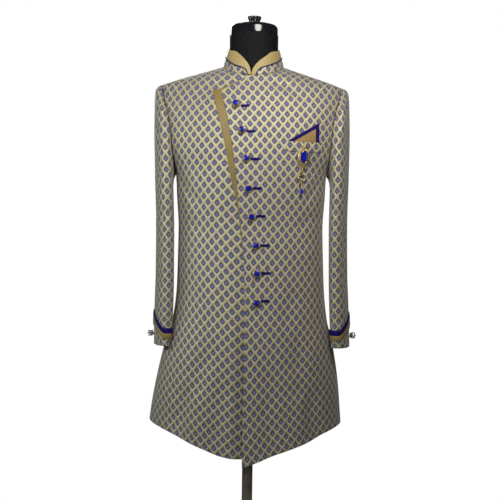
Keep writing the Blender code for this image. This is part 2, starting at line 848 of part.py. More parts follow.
def collar_place(x, z):
    """(q, w) of the collar's front point at x and z."""
    q = q_on_neckline(x)
    w = 0.5
    step = 0.0005
    for _ in range(12):
        here = collar_point(q, w)
        miss = np.array([x - here[0], z - here[2]])
        by_q = (collar_point(q + step, w) - here) / step
        by_w = (collar_point(q, w + step) - here) / step
        change = np.linalg.solve(np.array([[by_q[0], by_w[0]], [by_q[2], by_w[2]]]), miss)
        q += change[0]
        w += change[1]
    return q, max(0.0, w)


def collar_normal(q, w):
    step = 0.01
    across = collar_point(q + step, w) - collar_point(q - step, w)
    up = collar_point(q, w + step) - collar_point(q, w - step)
    return unit(np.cross(across, up))


def collar_columns():
    """Pairs of (q, w) for the band's lower and upper edges, from the left front end round to the right one."""
    left = []
    right = []
    for pairs_here, seam, edge in (
        (left, COLLAR_SEAM_LEFT, COLLAR_EDGE_LEFT),
        (right, COLLAR_SEAM_RIGHT, COLLAR_EDGE_RIGHT),
    ):
        for low, high in zip(seam, edge):
            pairs_here.append((collar_place(*low), collar_place(*high)))
    pairs = list(left)
    for step in range(COLLAR_SIDE_STEPS + 1):
        q = mix(COLLAR_SIDE_START, 4 - COLLAR_SIDE_START, step / COLLAR_SIDE_STEPS)
        near = left[-1] if q < 2 else right[-1]
        level = min(1.0, (min(q, 4 - q) - COLLAR_SIDE_START + 0.1) / COLLAR_LEVEL_OUT)
        pairs.append(((q, mix(near[0][1], COLLAR_SEAM_SHARE, level)), (q, mix(near[1][1], 1.0, level))))
    for low, high in reversed(right):
        pairs.append(((low[0] + 4, low[1]), (high[0] + 4, high[1])))
    return pairs


def collar_wall(name, columns, rows, material):
    """A wall on the collar's cone between each column's lower and upper (q, w)."""
    outer = []
    inner = []
    for row in range(rows + 1):
        t = row / rows
        outer_row = []
        inner_row = []
        for low, high in columns:
            q = mix(low[0], high[0], t)
            w = mix(low[1], high[1], t)
            point = collar_point(q, w)
            outer_row.append(point)
            inner_row.append(point - collar_normal(q, w) * COLLAR_WALL)
        outer.append(outer_row)
        inner.append(inner_row)
    wall(name, outer, inner, material)


def build_collar():
    pairs = collar_columns()
    collar_wall("collar_band", pairs, 1, GOLD_SATIN)
    stand = []
    for low, _ in pairs[1:-1]:
        stand.append(((low[0], 0.0), (low[0], low[1] - COLLAR_SEAM_CLEAR)))
    first, last = pairs[0][0], pairs[-1][0]
    (_, first_high), (_, last_high) = stand[0], stand[-1]
    stand[0] = (
        (first[0] + STAND_END_CLEAR, 0.0),
        (first_high[0] + STAND_END_CLEAR, first_high[1] - COLLAR_SEAM_CLEAR),
    )
    stand[-1] = (
        (last[0] - STAND_END_CLEAR, 0.0),
        (last_high[0] - STAND_END_CLEAR, last_high[1] - COLLAR_SEAM_CLEAR),
    )
    collar_wall("collar_stand", stand, 1, BROCADE)
    line = []
    for low, _ in pairs:
        q, w = low
        line.append(collar_point(q, max(w, 0.02)) + collar_normal(q, w) * (PIPING_RADIUS + TRIM_GAP))
    tube_along("collar_piping", line, PIPING_RADIUS, PIPING_SIDES, NAVY_SATIN)


def tube_along(name, line, radius, sides, material):
    """A closed round tube along a line of points."""
    rings = []
    for i, point in enumerate(line):
        ahead = line[min(i + 1, len(line) - 1)] - line[max(i - 1, 0)]
        ahead = unit(ahead)
        side = unit(np.cross(ahead, (0, 0, 1)) if abs(ahead[2]) < 0.95 else np.cross(ahead, (0, 1, 0)))
        other = np.cross(ahead, side)
        one = []
        for k in range(sides):
            turn = 2 * math.pi * k / sides
            one.append(point + radius * (side * math.cos(turn) + other * math.sin(turn)))
        rings.append(one)
    return stacked_rings(name, rings, material)


# ---------------------------------------------------------------- trims on the front

# height of the closing edge, width of the gold strip that shows beside it
STRIP_WIDTHS = (
    (0.880, 0.0016),
    (0.945, 0.0028),
    (0.983, 0.0033),
    (1.015, 0.0052),
    (1.043, 0.0095),
    (1.070, 0.0130),
    (1.100, 0.0158),
    (1.139, 0.0180),
    (1.182, 0.0193),
    (1.217, 0.0210),
    (1.250, 0.0212),
    (1.280, 0.0210),
)
STRIP_EDGE_GAP = 0.0006
STRIP_CORNER = 0.0205
strip_width_at = smooth_curve(STRIP_WIDTHS)
# share up the lapel's slanted edge, width of the strip there
STRIP_TURN = ((0.25, 0.0066), (0.50, 0.0052), (0.75, 0.0036), (0.96, 0.0024))


def on_right_front(q, h, distance, lift):
    return lifted(q, h, lift - lap_drop(distance))


def strip_distances(width):
    middle = LAP_FULL if width > 1.5 * LAP_FULL else 0.5 * (width + STRIP_EDGE_GAP)
    return (width, middle, STRIP_EDGE_GAP)


def build_strip():
    """The satin facing's edge, which shows outside the left front and lies on the right front."""
    outer = []
    inner = []
    places = []
    for height in column_levels(0.40, 0.0, LEFT_YOKE_START):
        if height < STRIP_WIDTHS[0][0]:
            continue
        width = strip_width_at(height)
        for_row = []
        for distance in strip_distances(width):
            for_row.append((q_of_front(closing_edge_at(height) - distance, height), height, distance))
        places.append(for_row)
    for share, width in ((0.0, STRIP_CORNER), *STRIP_TURN):
        places.append([(*lap_line(share, distance), distance) for distance in strip_distances(width)])
    for for_row in places:
        outer.append([on_right_front(q, h, away, TRIM_GAP + TRIM_WALL) for q, h, away in for_row])
        inner.append([on_right_front(q, h, away, TRIM_GAP) for q, h, away in for_row])
    wall("gold_strip", outer, inner, GOLD_SATIN)


# distance from the middle and height of each front button's seat
BUTTONS = (
    (-0.0393, 1.2500),
    (-0.0246, 1.1860),
    (-0.0131, 1.1185),
    (-0.0070, 1.0460),
    (0.0018, 0.9790),
    (0.0124, 0.9110),
    (0.0158, 0.8430),
    (0.0152, 0.7740),
)
LOOP_LENGTH = 0.0200
LOOP_WIDTH = 0.0052
LOOP_WALL = 0.0016
LOOP_STEPS = 3
# how far outside the basket a loop starts
LOOP_CLEAR = 0.0010
LOOP_DROPS = (0.004, 0.003, 0.002, -0.001, -0.002, 0.000, -0.002, -0.005)
MOUNT_RADIUS = 0.0108
MOUNT_HEIGHT = 0.0066
MOUNT_GAP = 0.0007
STONE_RADIUS = 0.0070
STONE_HEIGHT = 0.0048


def button_profile():
    """The gilt basket under a stone: a flared foot, a waist and a rim."""
    return [(0.0096, 0.0), (MOUNT_RADIUS, 0.0014), (0.0092, 0.0040), (0.0078, MOUNT_HEIGHT)]


def stone_profile(radius, height):
    """A faceted stone with a girdle, a crown and a flat table."""
    return [(radius, 0.0), (radius * 0.90, height * 0.50), (radius * 0.50, height)]


def build_button(number, x, z):
    q, h = front_place(x, z)
    normal = outward(q, h)
    seat = lifted(q, h, MOUNT_GAP)
    place = axes_place(seat, normal)
    turned(f"button_mount_{number}", button_profile(), 14, OLD_GOLD, place)
    stone_seat = lifted(q, h, MOUNT_GAP + MOUNT_HEIGHT + SEAM_GAP)
    stone = stone_profile(STONE_RADIUS, STONE_HEIGHT)
    turned(f"button_stone_{number}", stone, 10, BLUE_STONE, axes_place(stone_seat, normal), smooth=False)
    start = x + MOUNT_RADIUS + LOOP_CLEAR
    loop_z = z - LOOP_DROPS[number - 1]
    rows = {TRIM_GAP: [], TRIM_GAP + LOOP_WALL: []}
    for lift, grid in rows.items():
        for row in (-1, 1):
            line = []
            for step in range(LOOP_STEPS + 1):
                spot = front_place(start + LOOP_LENGTH * step / LOOP_STEPS, loop_z + row * LOOP_WIDTH / 2)
                line.append(lifted(*spot, lift))
            grid.append(line)
    wall(f"button_loop_{number}", rows[TRIM_GAP + LOOP_WALL], rows[TRIM_GAP], NAVY_SATIN)


def build_buttons():
    for number, (x, z) in enumerate(BUTTONS, 1):
        build_button(number, x, z)


# ---------------------------------------------------------------- breast pocket and square

POCKET_LEFT = 0.1680
POCKET_RIGHT = 0.0815
POCKET_MOUTH = 1.1605
WELT_DEPTH = 0.0230
SQUARE_TIP = (0.0845, 1.1612)
SQUARE_APEX = (0.1612, 1.2085)
SQUARE_FOOT = (0.1616, 1.1612)
SQUARE_BORDER = 0.0066
SQUARE_STEPS = 5
WELT_STEPS = 7
# the heart's gap inside the border, at its slanted and its upper side, and where its slanted side starts
HEART_SIDE_GAP = 0.0004
HEART_TOP_GAP = 0.0006
HEART_START = 0.06


def front_wall(name, rows, material, thickness=TRIM_WALL):
    """A wall laid on the left front through rows of (x, z)."""
    outer = []
    inner = []
    for row in rows:
        places = [front_place(x, z) for x, z in row]
        outer.append([lifted(q, h, TRIM_GAP + thickness) for q, h in places])
        inner.append([lifted(q, h, TRIM_GAP) for q, h in places])
    wall(name, outer, inner, material)


def build_pocket():
    rows = []
    for height in (POCKET_MOUTH - WELT_DEPTH, POCKET_MOUTH):
        row = []
        for step in range(WELT_STEPS + 1):
            row.append((mix(POCKET_RIGHT, POCKET_LEFT, step / WELT_STEPS), height))
        rows.append(row)
    front_wall("pocket_welt", rows, BROCADE)

    slope = math.atan2(SQUARE_APEX[1] - SQUARE_TIP[1], SQUARE_APEX[0] - SQUARE_TIP[0])
    inner_foot = (SQUARE_FOOT[0] - SQUARE_BORDER, SQUARE_FOOT[1])
    inner_tip = (SQUARE_TIP[0] + SQUARE_BORDER / math.sin(slope), SQUARE_TIP[1])
    rise = (inner_foot[0] - inner_tip[0]) * math.tan(slope)
    inner_apex = (inner_foot[0], inner_tip[1] + rise)
    outside = []
    inside = []
    for step in range(SQUARE_STEPS + 1):
        t = step / SQUARE_STEPS
        outside.append((mix(SQUARE_TIP[0], SQUARE_APEX[0], t), mix(SQUARE_TIP[1], SQUARE_APEX[1], t)))
        inside.append((mix(inner_tip[0], inner_apex[0], t), mix(inner_tip[1], inner_apex[1], t)))
    for t in (0.5, 1.0):
        outside.append((mix(SQUARE_APEX[0], SQUARE_FOOT[0], t), mix(SQUARE_APEX[1], SQUARE_FOOT[1], t)))
        inside.append((mix(inner_apex[0], inner_foot[0], t), mix(inner_apex[1], inner_foot[1], t)))
    front_wall("square_border", [inside, outside], NAVY_SATIN)

    low = []
    high = []
    for step in range(SQUARE_STEPS + 1):
        t = mix(HEART_START, 1.0, step / SQUARE_STEPS)
        x = mix(inner_tip[0], inner_apex[0], t) - HEART_SIDE_GAP
        low.append((x, inner_tip[1]))
        high.append((x, mix(inner_tip[1], inner_apex[1], t) - HEART_TOP_GAP))
    front_wall("square_heart", [low, high], GOLD_SATIN)


# ---------------------------------------------------------------- brooch

BROOCH = (0.1230, 1.1240)
BROOCH_RADIUS = 0.0165
BROOCH_STRETCH = 1.32
# the brooch is pinned over the pocket's welt
BROOCH_LIFT = 0.0019
PLATE_HEIGHT = 0.0030
RIM_RADIUS = 0.0112
RIM_WIRE = 0.0016
RIM_HEIGHT = 0.0034
RIM_STRETCH = 1.46
FLOWER_UP = 0.0246
FLOWER_RADIUS = 0.0072
FLOWER_HEIGHT = 0.0046
STEM_TOP = (0, -0.0200, 0.0016)
STEM_RADIUS = 0.0013
OVAL_STONE = ((0.0079, 0.0), (0.0085, 0.0010), (0.0070, 0.0038), (0.0036, 0.0052))
OVAL_STONE_STRETCH = 1.60
OVAL_STONE_LIFT = 0.0033
BROOCH_LINK = (0.1184, 1.0900)
BROOCH_LINK_LIFT = 0.0046
LINK_RADIUS = 0.0024
LINK_WIRE = 0.0007
LINK_REST_GAP = 0.0003
PENDANT_WIRE = 0.0024
PENDANT_RADIUS = 0.0082
PENDANT_DROP = 0.0122
# the lower link sits this much further down than the upper one, so that the two rings' unions stay clean
PENDANT_LINK_SET = 0.0001
DROP_FOOT = 0.0104
# radius, height: the drop's gilt bead and cap, and the pear-shaped stone under it
DROP_CAP = (
    (0.0027, 0.0),
    (0.0030, 0.0010),
    (0.0013, 0.0032),
    (0.0014, 0.0040),
    (0.0024, 0.0056),
    (0.0022, 0.0072),
    (0.0009, 0.0084),
)
DROP_STONE = (
    (0.0012, 0.0),
    (0.0032, 0.0016),
    (0.0040, 0.0045),
    (0.0036, 0.0078),
    (0.0024, 0.0110),
    (0.0016, 0.0130),
)


def joined(name, pieces, material):
    """One closed solid from overlapping ones, by exact Boolean unions that are then applied."""
    base = pieces[0]
    for other in pieces[1:]:
        union = base.modifiers.new("union", "BOOLEAN")
        union.operation = "UNION"
        union.object = other
    graph = bpy.context.evaluated_depsgraph_get()
    mesh = bpy.data.meshes.new_from_object(base.evaluated_get(graph))
    mesh.transform(base.matrix_world)
    for piece in pieces:
        bpy.data.objects.remove(piece, do_unlink=True)
    mesh.name = name
    mesh.materials.clear()
    mesh.materials.append(material)
    made = bpy.data.objects.new(name, mesh)
    bpy.context.scene.collection.objects.link(made)
    return made


def petal_plate(name, radius, petals, depth, low, high, material, place, stretch=1.0):
    """A scalloped plate: its edge swings in and out once for each petal."""
    sides = petals * 3
    rings = []
    for share, height in ((0.94, low), (1.0, mix(low, high, 0.45)), (0.86, high)):
        one = []
        for i in range(sides):
            turn = 2 * math.pi * i / sides
            reach = radius * share * (1 + depth * math.cos(petals * turn))
            one.append((reach * math.cos(turn), reach * math.sin(turn) * stretch, height))
        rings.append(one)
    made = stacked_rings(name, rings, material)
    made.matrix_world = place
    return made


def ring_of_wire(name, radius, wire, material, place, sides=10, wire_sides=5):
    """A torus in its own XY plane."""
    points = []
    faces = []
    for i in range(sides):
        turn = 2 * math.pi * i / sides
        for k in range(wire_sides):
            roll = 2 * math.pi * k / wire_sides
            reach = radius + wire * math.cos(roll)
            points.append((reach * math.cos(turn), reach * math.sin(turn), wire * math.sin(roll)))
    for i in range(sides):
        for k in range(wire_sides):
            after, up = (i + 1) % sides, (k + 1) % wire_sides
            faces.append((i * wire_sides + k, after * wire_sides + k, after * wire_sides + up, i * wire_sides + up))
    made = new_object(name, points, faces, material)
    made.matrix_world = place
    return made


def frame_at(x, z, lift):
    """A place on the left front whose Z points straight out of the cloth."""
    q, h = front_place(x, z)
    return axes_place(lifted(q, h, lift), outward(q, h))


def build_brooch():
    place = frame_at(*BROOCH, BROOCH_LIFT)
    plate = petal_plate("plate", BROOCH_RADIUS, 12, 0.05, 0.0, PLATE_HEIGHT, OLD_GOLD, place, BROOCH_STRETCH)
    rim = ring_of_wire("rim", RIM_RADIUS, RIM_WIRE, OLD_GOLD, place @ Matrix.Translation((0, 0, RIM_HEIGHT)), 16)
    rim.matrix_world = rim.matrix_world @ Matrix.Diagonal((1, RIM_STRETCH, 1, 1))
    crown = place @ Matrix.Translation((0, FLOWER_UP, 0))
    flower = petal_plate("flower", FLOWER_RADIUS, 6, 0.12, 0.0, FLOWER_HEIGHT, OLD_GOLD, crown)

    hang = np.array(place.translation)
    out = outward(*front_place(BROOCH_LINK[0], BROOCH_LINK[1]))
    out = unit(np.array([out[0], out[1], 0.0]))
    link_foot = lifted(*front_place(*BROOCH_LINK), 0.0)
    link_centre = link_foot + out * BROOCH_LINK_LIFT
    link_place = axes_place(link_centre, out)
    link = ring_of_wire("link", LINK_RADIUS, LINK_WIRE, OLD_GOLD, link_place, 10)

    stem_top = hang + np.array(place.to_3x3() @ Vector(STEM_TOP))
    stem_foot = link_centre + np.array([0, 0, LINK_RADIUS])
    line = [mix(stem_top, stem_foot, t) for t in (0.0, 0.5, 1.0)]
    stem = tube_along("stem", line, STEM_RADIUS, 6, OLD_GOLD)
    joined("brooch_frame", [plate, rim, flower, stem, link], OLD_GOLD)

    stone_seat = place @ Matrix.Translation((0, 0, OVAL_STONE_LIFT))
    stone = turned("brooch_stone", OVAL_STONE, 16, BLUE_STONE, stone_seat, smooth=False)
    stone.matrix_world = stone.matrix_world @ Matrix.Diagonal((1, OVAL_STONE_STRETCH, 1, 1))

    sideways = Matrix.Rotation(math.pi / 2, 4, "Y")
    drop = LINK_RADIUS - LINK_WIRE - LINK_REST_GAP + LINK_RADIUS - LINK_WIRE
    ring_place = link_place @ Matrix.Translation((0, -drop, 0))
    ring_one = ring_of_wire("ring_one", LINK_RADIUS, LINK_WIRE, OLD_GOLD, ring_place @ sideways, 10)
    body_centre = -drop - PENDANT_DROP
    body = ring_of_wire("body", PENDANT_RADIUS, PENDANT_WIRE, OLD_GOLD,
                        link_place @ Matrix.Translation((0, body_centre, 0)), 16, 6)
    second = body_centre - PENDANT_DROP - PENDANT_LINK_SET
    second_place = link_place @ Matrix.Translation((0, second, 0))
    link_two = ring_of_wire("link_two", LINK_RADIUS, LINK_WIRE, OLD_GOLD, second_place, 10)
    joined("brooch_pendant", [body, ring_one, link_two], OLD_GOLD)

    ring_two_place = link_place @ Matrix.Translation((0, second - drop, 0))
    ring_two = ring_of_wire("ring_two", LINK_RADIUS, LINK_WIRE, OLD_GOLD, ring_two_place @ sideways, 10)
    foot = link_centre + np.array([0, 0, second - drop - DROP_FOOT])
    cap = turned("cap", DROP_CAP, 8, OLD_GOLD, Matrix.Translation(foot))
    joined("brooch_drop", [cap, ring_two], OLD_GOLD)
    stone_foot = foot - np.array([0, 0, DROP_STONE[-1][1] + SEAM_GAP])
    turned("brooch_drop_stone", DROP_STONE, 8, BLUE_STONE, Matrix.Translation(stone_foot))


# ---------------------------------------------------------------- dress form

# height, half width, ease between the coat's outer surface and the form at the front and at the back
FORM_SECTIONS = (
    (0.660, 0.1800, 0.0240, 0.0240),
    (0.700, 0.1785, 0.0225, 0.0225),
    (0.760, 0.1680, 0.0200, 0.0190),
    (0.850, 0.1630, 0.0140, 0.0120),
    (0.955, 0.1660, 0.0100, 0.0070),
    (1.030, 0.1735, 0.0085, 0.0060),
    (1.085, 0.1790, 0.0080, 0.0060),
    (1.130, 0.1840, 0.0075, 0.0060),
    (1.195, 0.1920, 0.0070, 0.0060),
    (1.262, 0.2045, 0.0072, 0.0066),
    (1.305, 0.2110, 0.0082, 0.0076),
)
form_half_width_at = smooth_curve(FORM_SECTIONS, 1)
form_front_ease_at = smooth_curve(FORM_SECTIONS, 2)
form_back_ease_at = smooth_curve(FORM_SECTIONS, 3)
FORM_COLUMNS = 32
FORM_BOTTOM = 0.660
FORM_LEVELS = (0.672, 0.715, 0.775, 0.845, 0.920, 0.990, 1.055, 1.110, 1.165, 1.220, 1.262, 1.290, 1.305)
FORM_YOKE_LEVELS = (0.12, 0.40, 0.72, 0.92)
# share of the collar's height, how far inside the collar the neck runs there
NECK_FOOT = ((0.02, 0.0066), (0.30, 0.0046), (0.65, 0.0034))
NECK_RADIUS = 0.0606
NECK_FOOT_TOP = 1.4020
NECK_TOP = 1.4350
# how far inside the coat the form runs at the front and back of the yoke, beyond the cloth and its gap
YOKE_CLEAR = 0.0012
YOKE_SINK = 0.0050
YOKE_SINK_REACH = 0.12
# height above the form's bottom, inset of its rounded bottom edge
FORM_FOOT = ((0.0, 0.012), (0.003, 0.004))
# radius, height
NECK_CAP = ((0.0592, NECK_TOP + SEAM_GAP), (0.0592, 1.4520), (0.0560, 1.4585), (0.0460, 1.4612), (0.0160, 1.4625))
KNOB = ((0.0118, 1.4628), (0.0132, 1.4645), (0.0136, 1.4690), (0.0176, 1.4800), (0.0172, 1.4822), (0.0140, 1.4830))
POLE = ((0.0131, 0.0123), (0.0131, FORM_BOTTOM - SEAM_GAP))
BASE = ((0.1785, 0.0), (0.1800, 0.0015), (0.1800, 0.0100), (0.1780, 0.0120))


def form_ring(height, inset=0.0):
    """A level ring of the form's torso."""
    sizes = (
        form_half_width_at(height) - inset,
        front_depth_at(height) - form_front_ease_at(height) - inset,
        back_depth_at(height) - form_back_ease_at(height) - inset,
        squareness_at(height),
    )
    section = oval(*sizes)
    points = []
    for column in range(FORM_COLUMNS):
        x, y = on_ring(section, 4 * column / FORM_COLUMNS)
        points.append((x + lean_at(height), y, height))
    return points


def form_yoke_ring(share):
    """A ring just under the coat's yoke; the cloth rests on it along the shoulder seams."""
    points = []
    for column in range(FORM_COLUMNS):
        q = 4 * column / FORM_COLUMNS
        from_seam = abs(abs((q + 2) % 4 - 2) - 1)
        depth = CLOTH_WALL + YOKE_CLEAR + YOKE_SINK * min(1.0, from_seam / YOKE_SINK_REACH)
        points.append(lifted(q, mix(SHOULDER_HEIGHT, SHOULDER_HEIGHT + YOKE_SPAN, share), -depth))
    return points


def neck_ring(radius, height):
    points = []
    for column in range(FORM_COLUMNS):
        turn = 2 * math.pi * column / FORM_COLUMNS
        points.append((NECK_SHIFT + radius * math.sin(turn), -radius * math.cos(turn), height))
    return points


def build_form():
    rings = [form_ring(FORM_BOTTOM + rise, inset) for rise, inset in FORM_FOOT]
    rings += [form_ring(height) for height in FORM_LEVELS]
    rings += [form_yoke_ring(share) for share in FORM_YOKE_LEVELS]
    for w, depth in NECK_FOOT:
        ring_here = []
        for column in range(FORM_COLUMNS):
            q = 4 * column / FORM_COLUMNS
            ring_here.append(collar_point(q, w) - collar_normal(q, w) * depth)
        rings.append(ring_here)
    rings.append(neck_ring(NECK_RADIUS, NECK_FOOT_TOP))
    rings.append(neck_ring(NECK_RADIUS, NECK_TOP))
    stacked_rings("form_torso", rings, BLACK_COVER)

    middle = Matrix.Translation((NECK_SHIFT, 0, 0))
    turned("form_neck_cap", NECK_CAP, 24, BLACK_GLOSS, middle)
    turned("form_knob", KNOB, 14, BLACK_GLOSS, middle)
    turned("stand_pole", POLE, 24, DARK_STEEL)
    turned("stand_base", BASE, 40, DARK_STEEL)


build_panels()
build_sleeve(1, "sleeve_left")
build_sleeve(-1, "sleeve_right")
build_cuffs()
build_collar()
build_strip()
build_buttons()
build_pocket()
build_brooch()
build_form()
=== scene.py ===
# %% [markdown]
# # A sherwani coat on its dress form
# A sherwani is a long buttoned coat. This lesson dresses the plain solids of the part in cloth,
# satin, gilt and stones. Everything is in metres, the front faces -Y, the wearer's left is +X, and
# the floor is at height 0.

# %% load the part
import math
from collections import Counter
from functools import partial, partialmethod

import bpy
import numpy as np
from mathutils import Matrix, Vector


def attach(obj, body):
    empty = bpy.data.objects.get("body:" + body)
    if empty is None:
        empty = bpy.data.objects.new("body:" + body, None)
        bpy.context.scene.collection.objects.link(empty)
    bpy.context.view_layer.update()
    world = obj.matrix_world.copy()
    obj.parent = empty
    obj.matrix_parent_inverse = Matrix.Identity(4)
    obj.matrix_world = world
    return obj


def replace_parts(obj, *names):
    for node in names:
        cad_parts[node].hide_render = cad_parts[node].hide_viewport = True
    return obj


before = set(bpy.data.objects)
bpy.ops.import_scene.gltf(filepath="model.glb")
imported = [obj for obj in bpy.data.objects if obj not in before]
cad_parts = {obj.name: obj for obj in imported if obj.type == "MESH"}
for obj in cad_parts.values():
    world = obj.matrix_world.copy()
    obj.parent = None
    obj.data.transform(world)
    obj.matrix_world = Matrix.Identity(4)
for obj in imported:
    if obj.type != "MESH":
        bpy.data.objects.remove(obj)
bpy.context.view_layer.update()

COAT = "coat_and_form"
bpy.context.scene.view_settings.view_transform = "Standard"


def mm(*rows, plain=()):
    """A table's rows, brought from millimetres to metres; the plain columns hold other numbers."""
    return [tuple(v if i in plain else v / 1000 for i, v in enumerate(row)) for row in rows]


# %% [markdown]
# ## The coat's cut, as tables
# A tailor keeps a coat's shape as measures at a few heights,
# and here they are the same measures as the part's.
# Each row holds a height and the measures there in millimetres, and a smooth curve is drawn through them.
# The same curve serves the cloth, its trims and the places where buttons sit,
# so nothing drifts off the cloth.

# %% body measures
SHOULDER = 1.305
ARMPIT = 1.085
YOKE_SPAN = 0.050
YOKE_CROWN = 0.0055
TOP = SHOULDER + YOKE_SPAN
CUFF = 0.665

# height, half width, depth of front, depth of back, squareness of the oval
BODY = mm(
    (385, 247, 166, 172, 2.1), (485, 237.5, 158, 164, 2.12), (555, 229.5, 151.5, 157.5, 2.15),
    (640, 214.9, 144, 149, 2.2), (690, 203, 139.5, 143, 2.22), (730, 192, 135.5, 138, 2.25),
    (805, 183.4, 129, 128, 2.28), (880, 180.9, 124, 115, 2.3), (955, 179.5, 121, 107, 2.3),
    (1030, 184, 125, 113.5, 2.35), (1085, 187, 127, 121, 2.4), (1130, 203, 126, 125, 2.4),
    (1162, 214, 123, 125, 2.38), (1195, 221, 118, 123, 2.3), (1230, 227, 110, 118, 2.16),
    (1262, 233, 100, 112, 1.98), (1285, 232, 91.5, 106, 1.8), (1305, 224, 82, 101, 1.62),
    plain=(4,),
)
# height, how far the body's middle hangs towards the wearer's left
LEAN = mm((385, -8.5), (485, -7.5), (615, -2.8), (775, 1), (955, -0.5), (1100, -1), (1305, -3))
# height, distance of the armhole seam from the middle
ARMHOLE = mm(
    (1085, 187), (1105, 189), (1130, 191.5), (1162, 195), (1195, 198.5), (1224, 203), (1246, 208.5),
    (1262, 213.5), (1285, 219), (1305, 224),
)
# how far the shoulder's end is padded up, on the wearer's left and right
PAD_LEFT, PAD_RIGHT = 0.0025, 0.0040
PAD_START = 1.262
NECK_HALF_WIDTH, NECK_DEPTH, NECK_SHIFT = 0.0750, 0.0720, 0.0015
# share round from centre front (0) to centre back (2), height of the neckline
NECKLINE = mm((0, 1325), (0.5, 1336), (1, 1357), (2, 1366), plain=(0,))
print("body table:", len(BODY), "levels from hem to shoulder")

# %% edges of the fronts and the hem
# height, where the left front's closing edge runs
CLOSING_EDGE = mm(
    (390, -12.5), (500, -12.5), (600, -11), (746, -10.5), (810, -12.5), (855, -14), (890, -15.5),
    (938, -20.5), (983, -26.2), (1043, -32.5), (1097, -38.5), (1139, -44.5), (1182, -52.5), (1217, -59),
    (1248, -67), (1285, -75.5),
)
LAPEL_CORNER = 1.285
LAPEL_TOP_X = -0.0055
LAPEL_SLANT = 1.15
LEFT_YOKE_START = 1.272
LAP_START, LAP_FULL = 0.024, 0.004
# height, where the right front's own edge lies hidden under the left front
HIDDEN_EDGE = mm((390, 33), (900, 33), (1000, 22), (1150, 6), (1250, -4), (1305, 4))
# distance from the middle, height of the hem there
LEFT_HEM = mm(
    (-14, 388.5), (-6.7, 391), (18, 400), (53, 414.4), (100, 430), (148, 446.5), (185, 462), (220, 473),
    (240, 479),
)
RIGHT_HEM = mm(
    (-250, 479), (-242.6, 476.4), (-214.7, 469), (-174, 455), (-137, 440.5), (-100.5, 427), (-65, 414.5),
    (-29, 409), (40, 408),
)
BACK_HEM_MIDDLE, BACK_HEM_SIDE = 0.440, 0.4772
# the level at which a panel's columns are shared out, and where the hidden edge's hem is read
HEM_LEVEL, HIDDEN_HEM = 0.43, 0.030
print("fronts close from", CLOSING_EDGE[0][0], "to", LAPEL_CORNER)

# %% sleeve measures
# height, middle out from the centre, half thickness, middle forward, half depth
SLEEVE = mm(
    (640, 216.5, 26.2, -26, 56), (700, 216.5, 26.2, -24, 58), (775, 215.5, 25.8, -19, 61),
    (835, 214.5, 25.2, -14, 64), (925, 214.5, 25, -8, 69), (1000, 215.5, 25.2, -4, 73.5),
    (1085, 218, 25.8, 0, 77), (1195, 219.5, 26.8, 2, 77), (1305, 217, 27.2, 2, 74),
)
SLEEVE_SQUARENESS = 2.3
# height, how far both sleeves hang towards the wearer's left of the body's middle
SLEEVE_LEAN = mm((640, 7), (775, 4.4), (970, 2), (1150, 0.2), (1305, -2))
SLEEVE_HEAD_ROLL = (0.0060, 0.0130)
SLEEVE_SKEW = 0.0100
SLEEVE_CLEARANCE = 0.0036
PUSH_SOFTNESS = 0.008
SLEEVE_LEVEL_OUT, SLEEVE_LEVEL_CURVE = 0.75, 1.5
ARMHOLE_GAP = 0.0010
print("sleeve table:", len(SLEEVE), "levels from cuff to shoulder")

# %% [markdown]
# ## Curves and ovals
# A smooth curve through a table never overshoots its rows, so a waist stays where the table puts it.
# A level cut through the coat is an oval, a little squarer than an ellipse at the waist and hips.
# Places on the cloth are a share q round (0 centre front, 1 left side, 2 centre back) and a height h.


# %% curves
def arrays(*values):
    """The values as arrays of one shape."""
    return np.broadcast_arrays(*(np.asarray(value, float) for value in values))


def mix(a, b, t):
    return a + (b - a) * t


def ease(t):
    t = np.clip(t, 0, 1)
    return t * t * (3 - 2 * t)


def unit(vectors):
    return vectors / np.linalg.norm(vectors, axis=-1, keepdims=True)


def smooth_curve(rows, column=1):
    """A function through a table's rows that takes one height or an array of them."""
    places, values = np.array([(row[0], row[column]) for row in rows], float).T
    steps = np.diff(places)
    slopes = np.diff(values) / steps
    tangents = np.concatenate([slopes[:1], 0 * slopes[1:], slopes[-1:]])
    for i in range(1, len(slopes)):
        if slopes[i - 1] * slopes[i] > 0:
            before, after = 2 * steps[i] + steps[i - 1], steps[i] + 2 * steps[i - 1]
            tangents[i] = (before + after) / (before / slopes[i - 1] + after / slopes[i])

    def at(place):
        place = np.clip(place, places[0], places[-1])
        i = np.clip(np.searchsorted(places, place) - 1, 0, len(steps) - 1)
        t = (place - places[i]) / steps[i]
        start = values[i] * (1 + 2 * t) * (1 - t) ** 2 + steps[i] * tangents[i] * t * (1 - t) ** 2
        return start + values[i + 1] * t * t * (3 - 2 * t) + steps[i] * tangents[i + 1] * t * t * (t - 1)

    return at


print("curves are ready")

# %% [markdown]
# ## Ovals
# Half an oval is worked out for each level of the coat, because its two halves mirror each other.
# Later steps read their places off this stack of ovals, which is quicker than working each one out again.

# %% ovals
half_width_at, front_depth_at = smooth_curve(BODY, 1), smooth_curve(BODY, 2)
back_depth_at, squareness_at = smooth_curve(BODY, 3), smooth_curve(BODY, 4)
lean_at, armhole_at, neckline_at = smooth_curve(LEAN), smooth_curve(ARMHOLE), smooth_curve(NECKLINE)
closing_edge_at, hidden_edge_at = smooth_curve(CLOSING_EDGE), smooth_curve(HIDDEN_EDGE)
left_hem_at, right_hem_at = smooth_curve(LEFT_HEM), smooth_curve(RIGHT_HEM)
SHARES = np.linspace(0, 2, 241)
TO_SIDE = len(SHARES) // 2


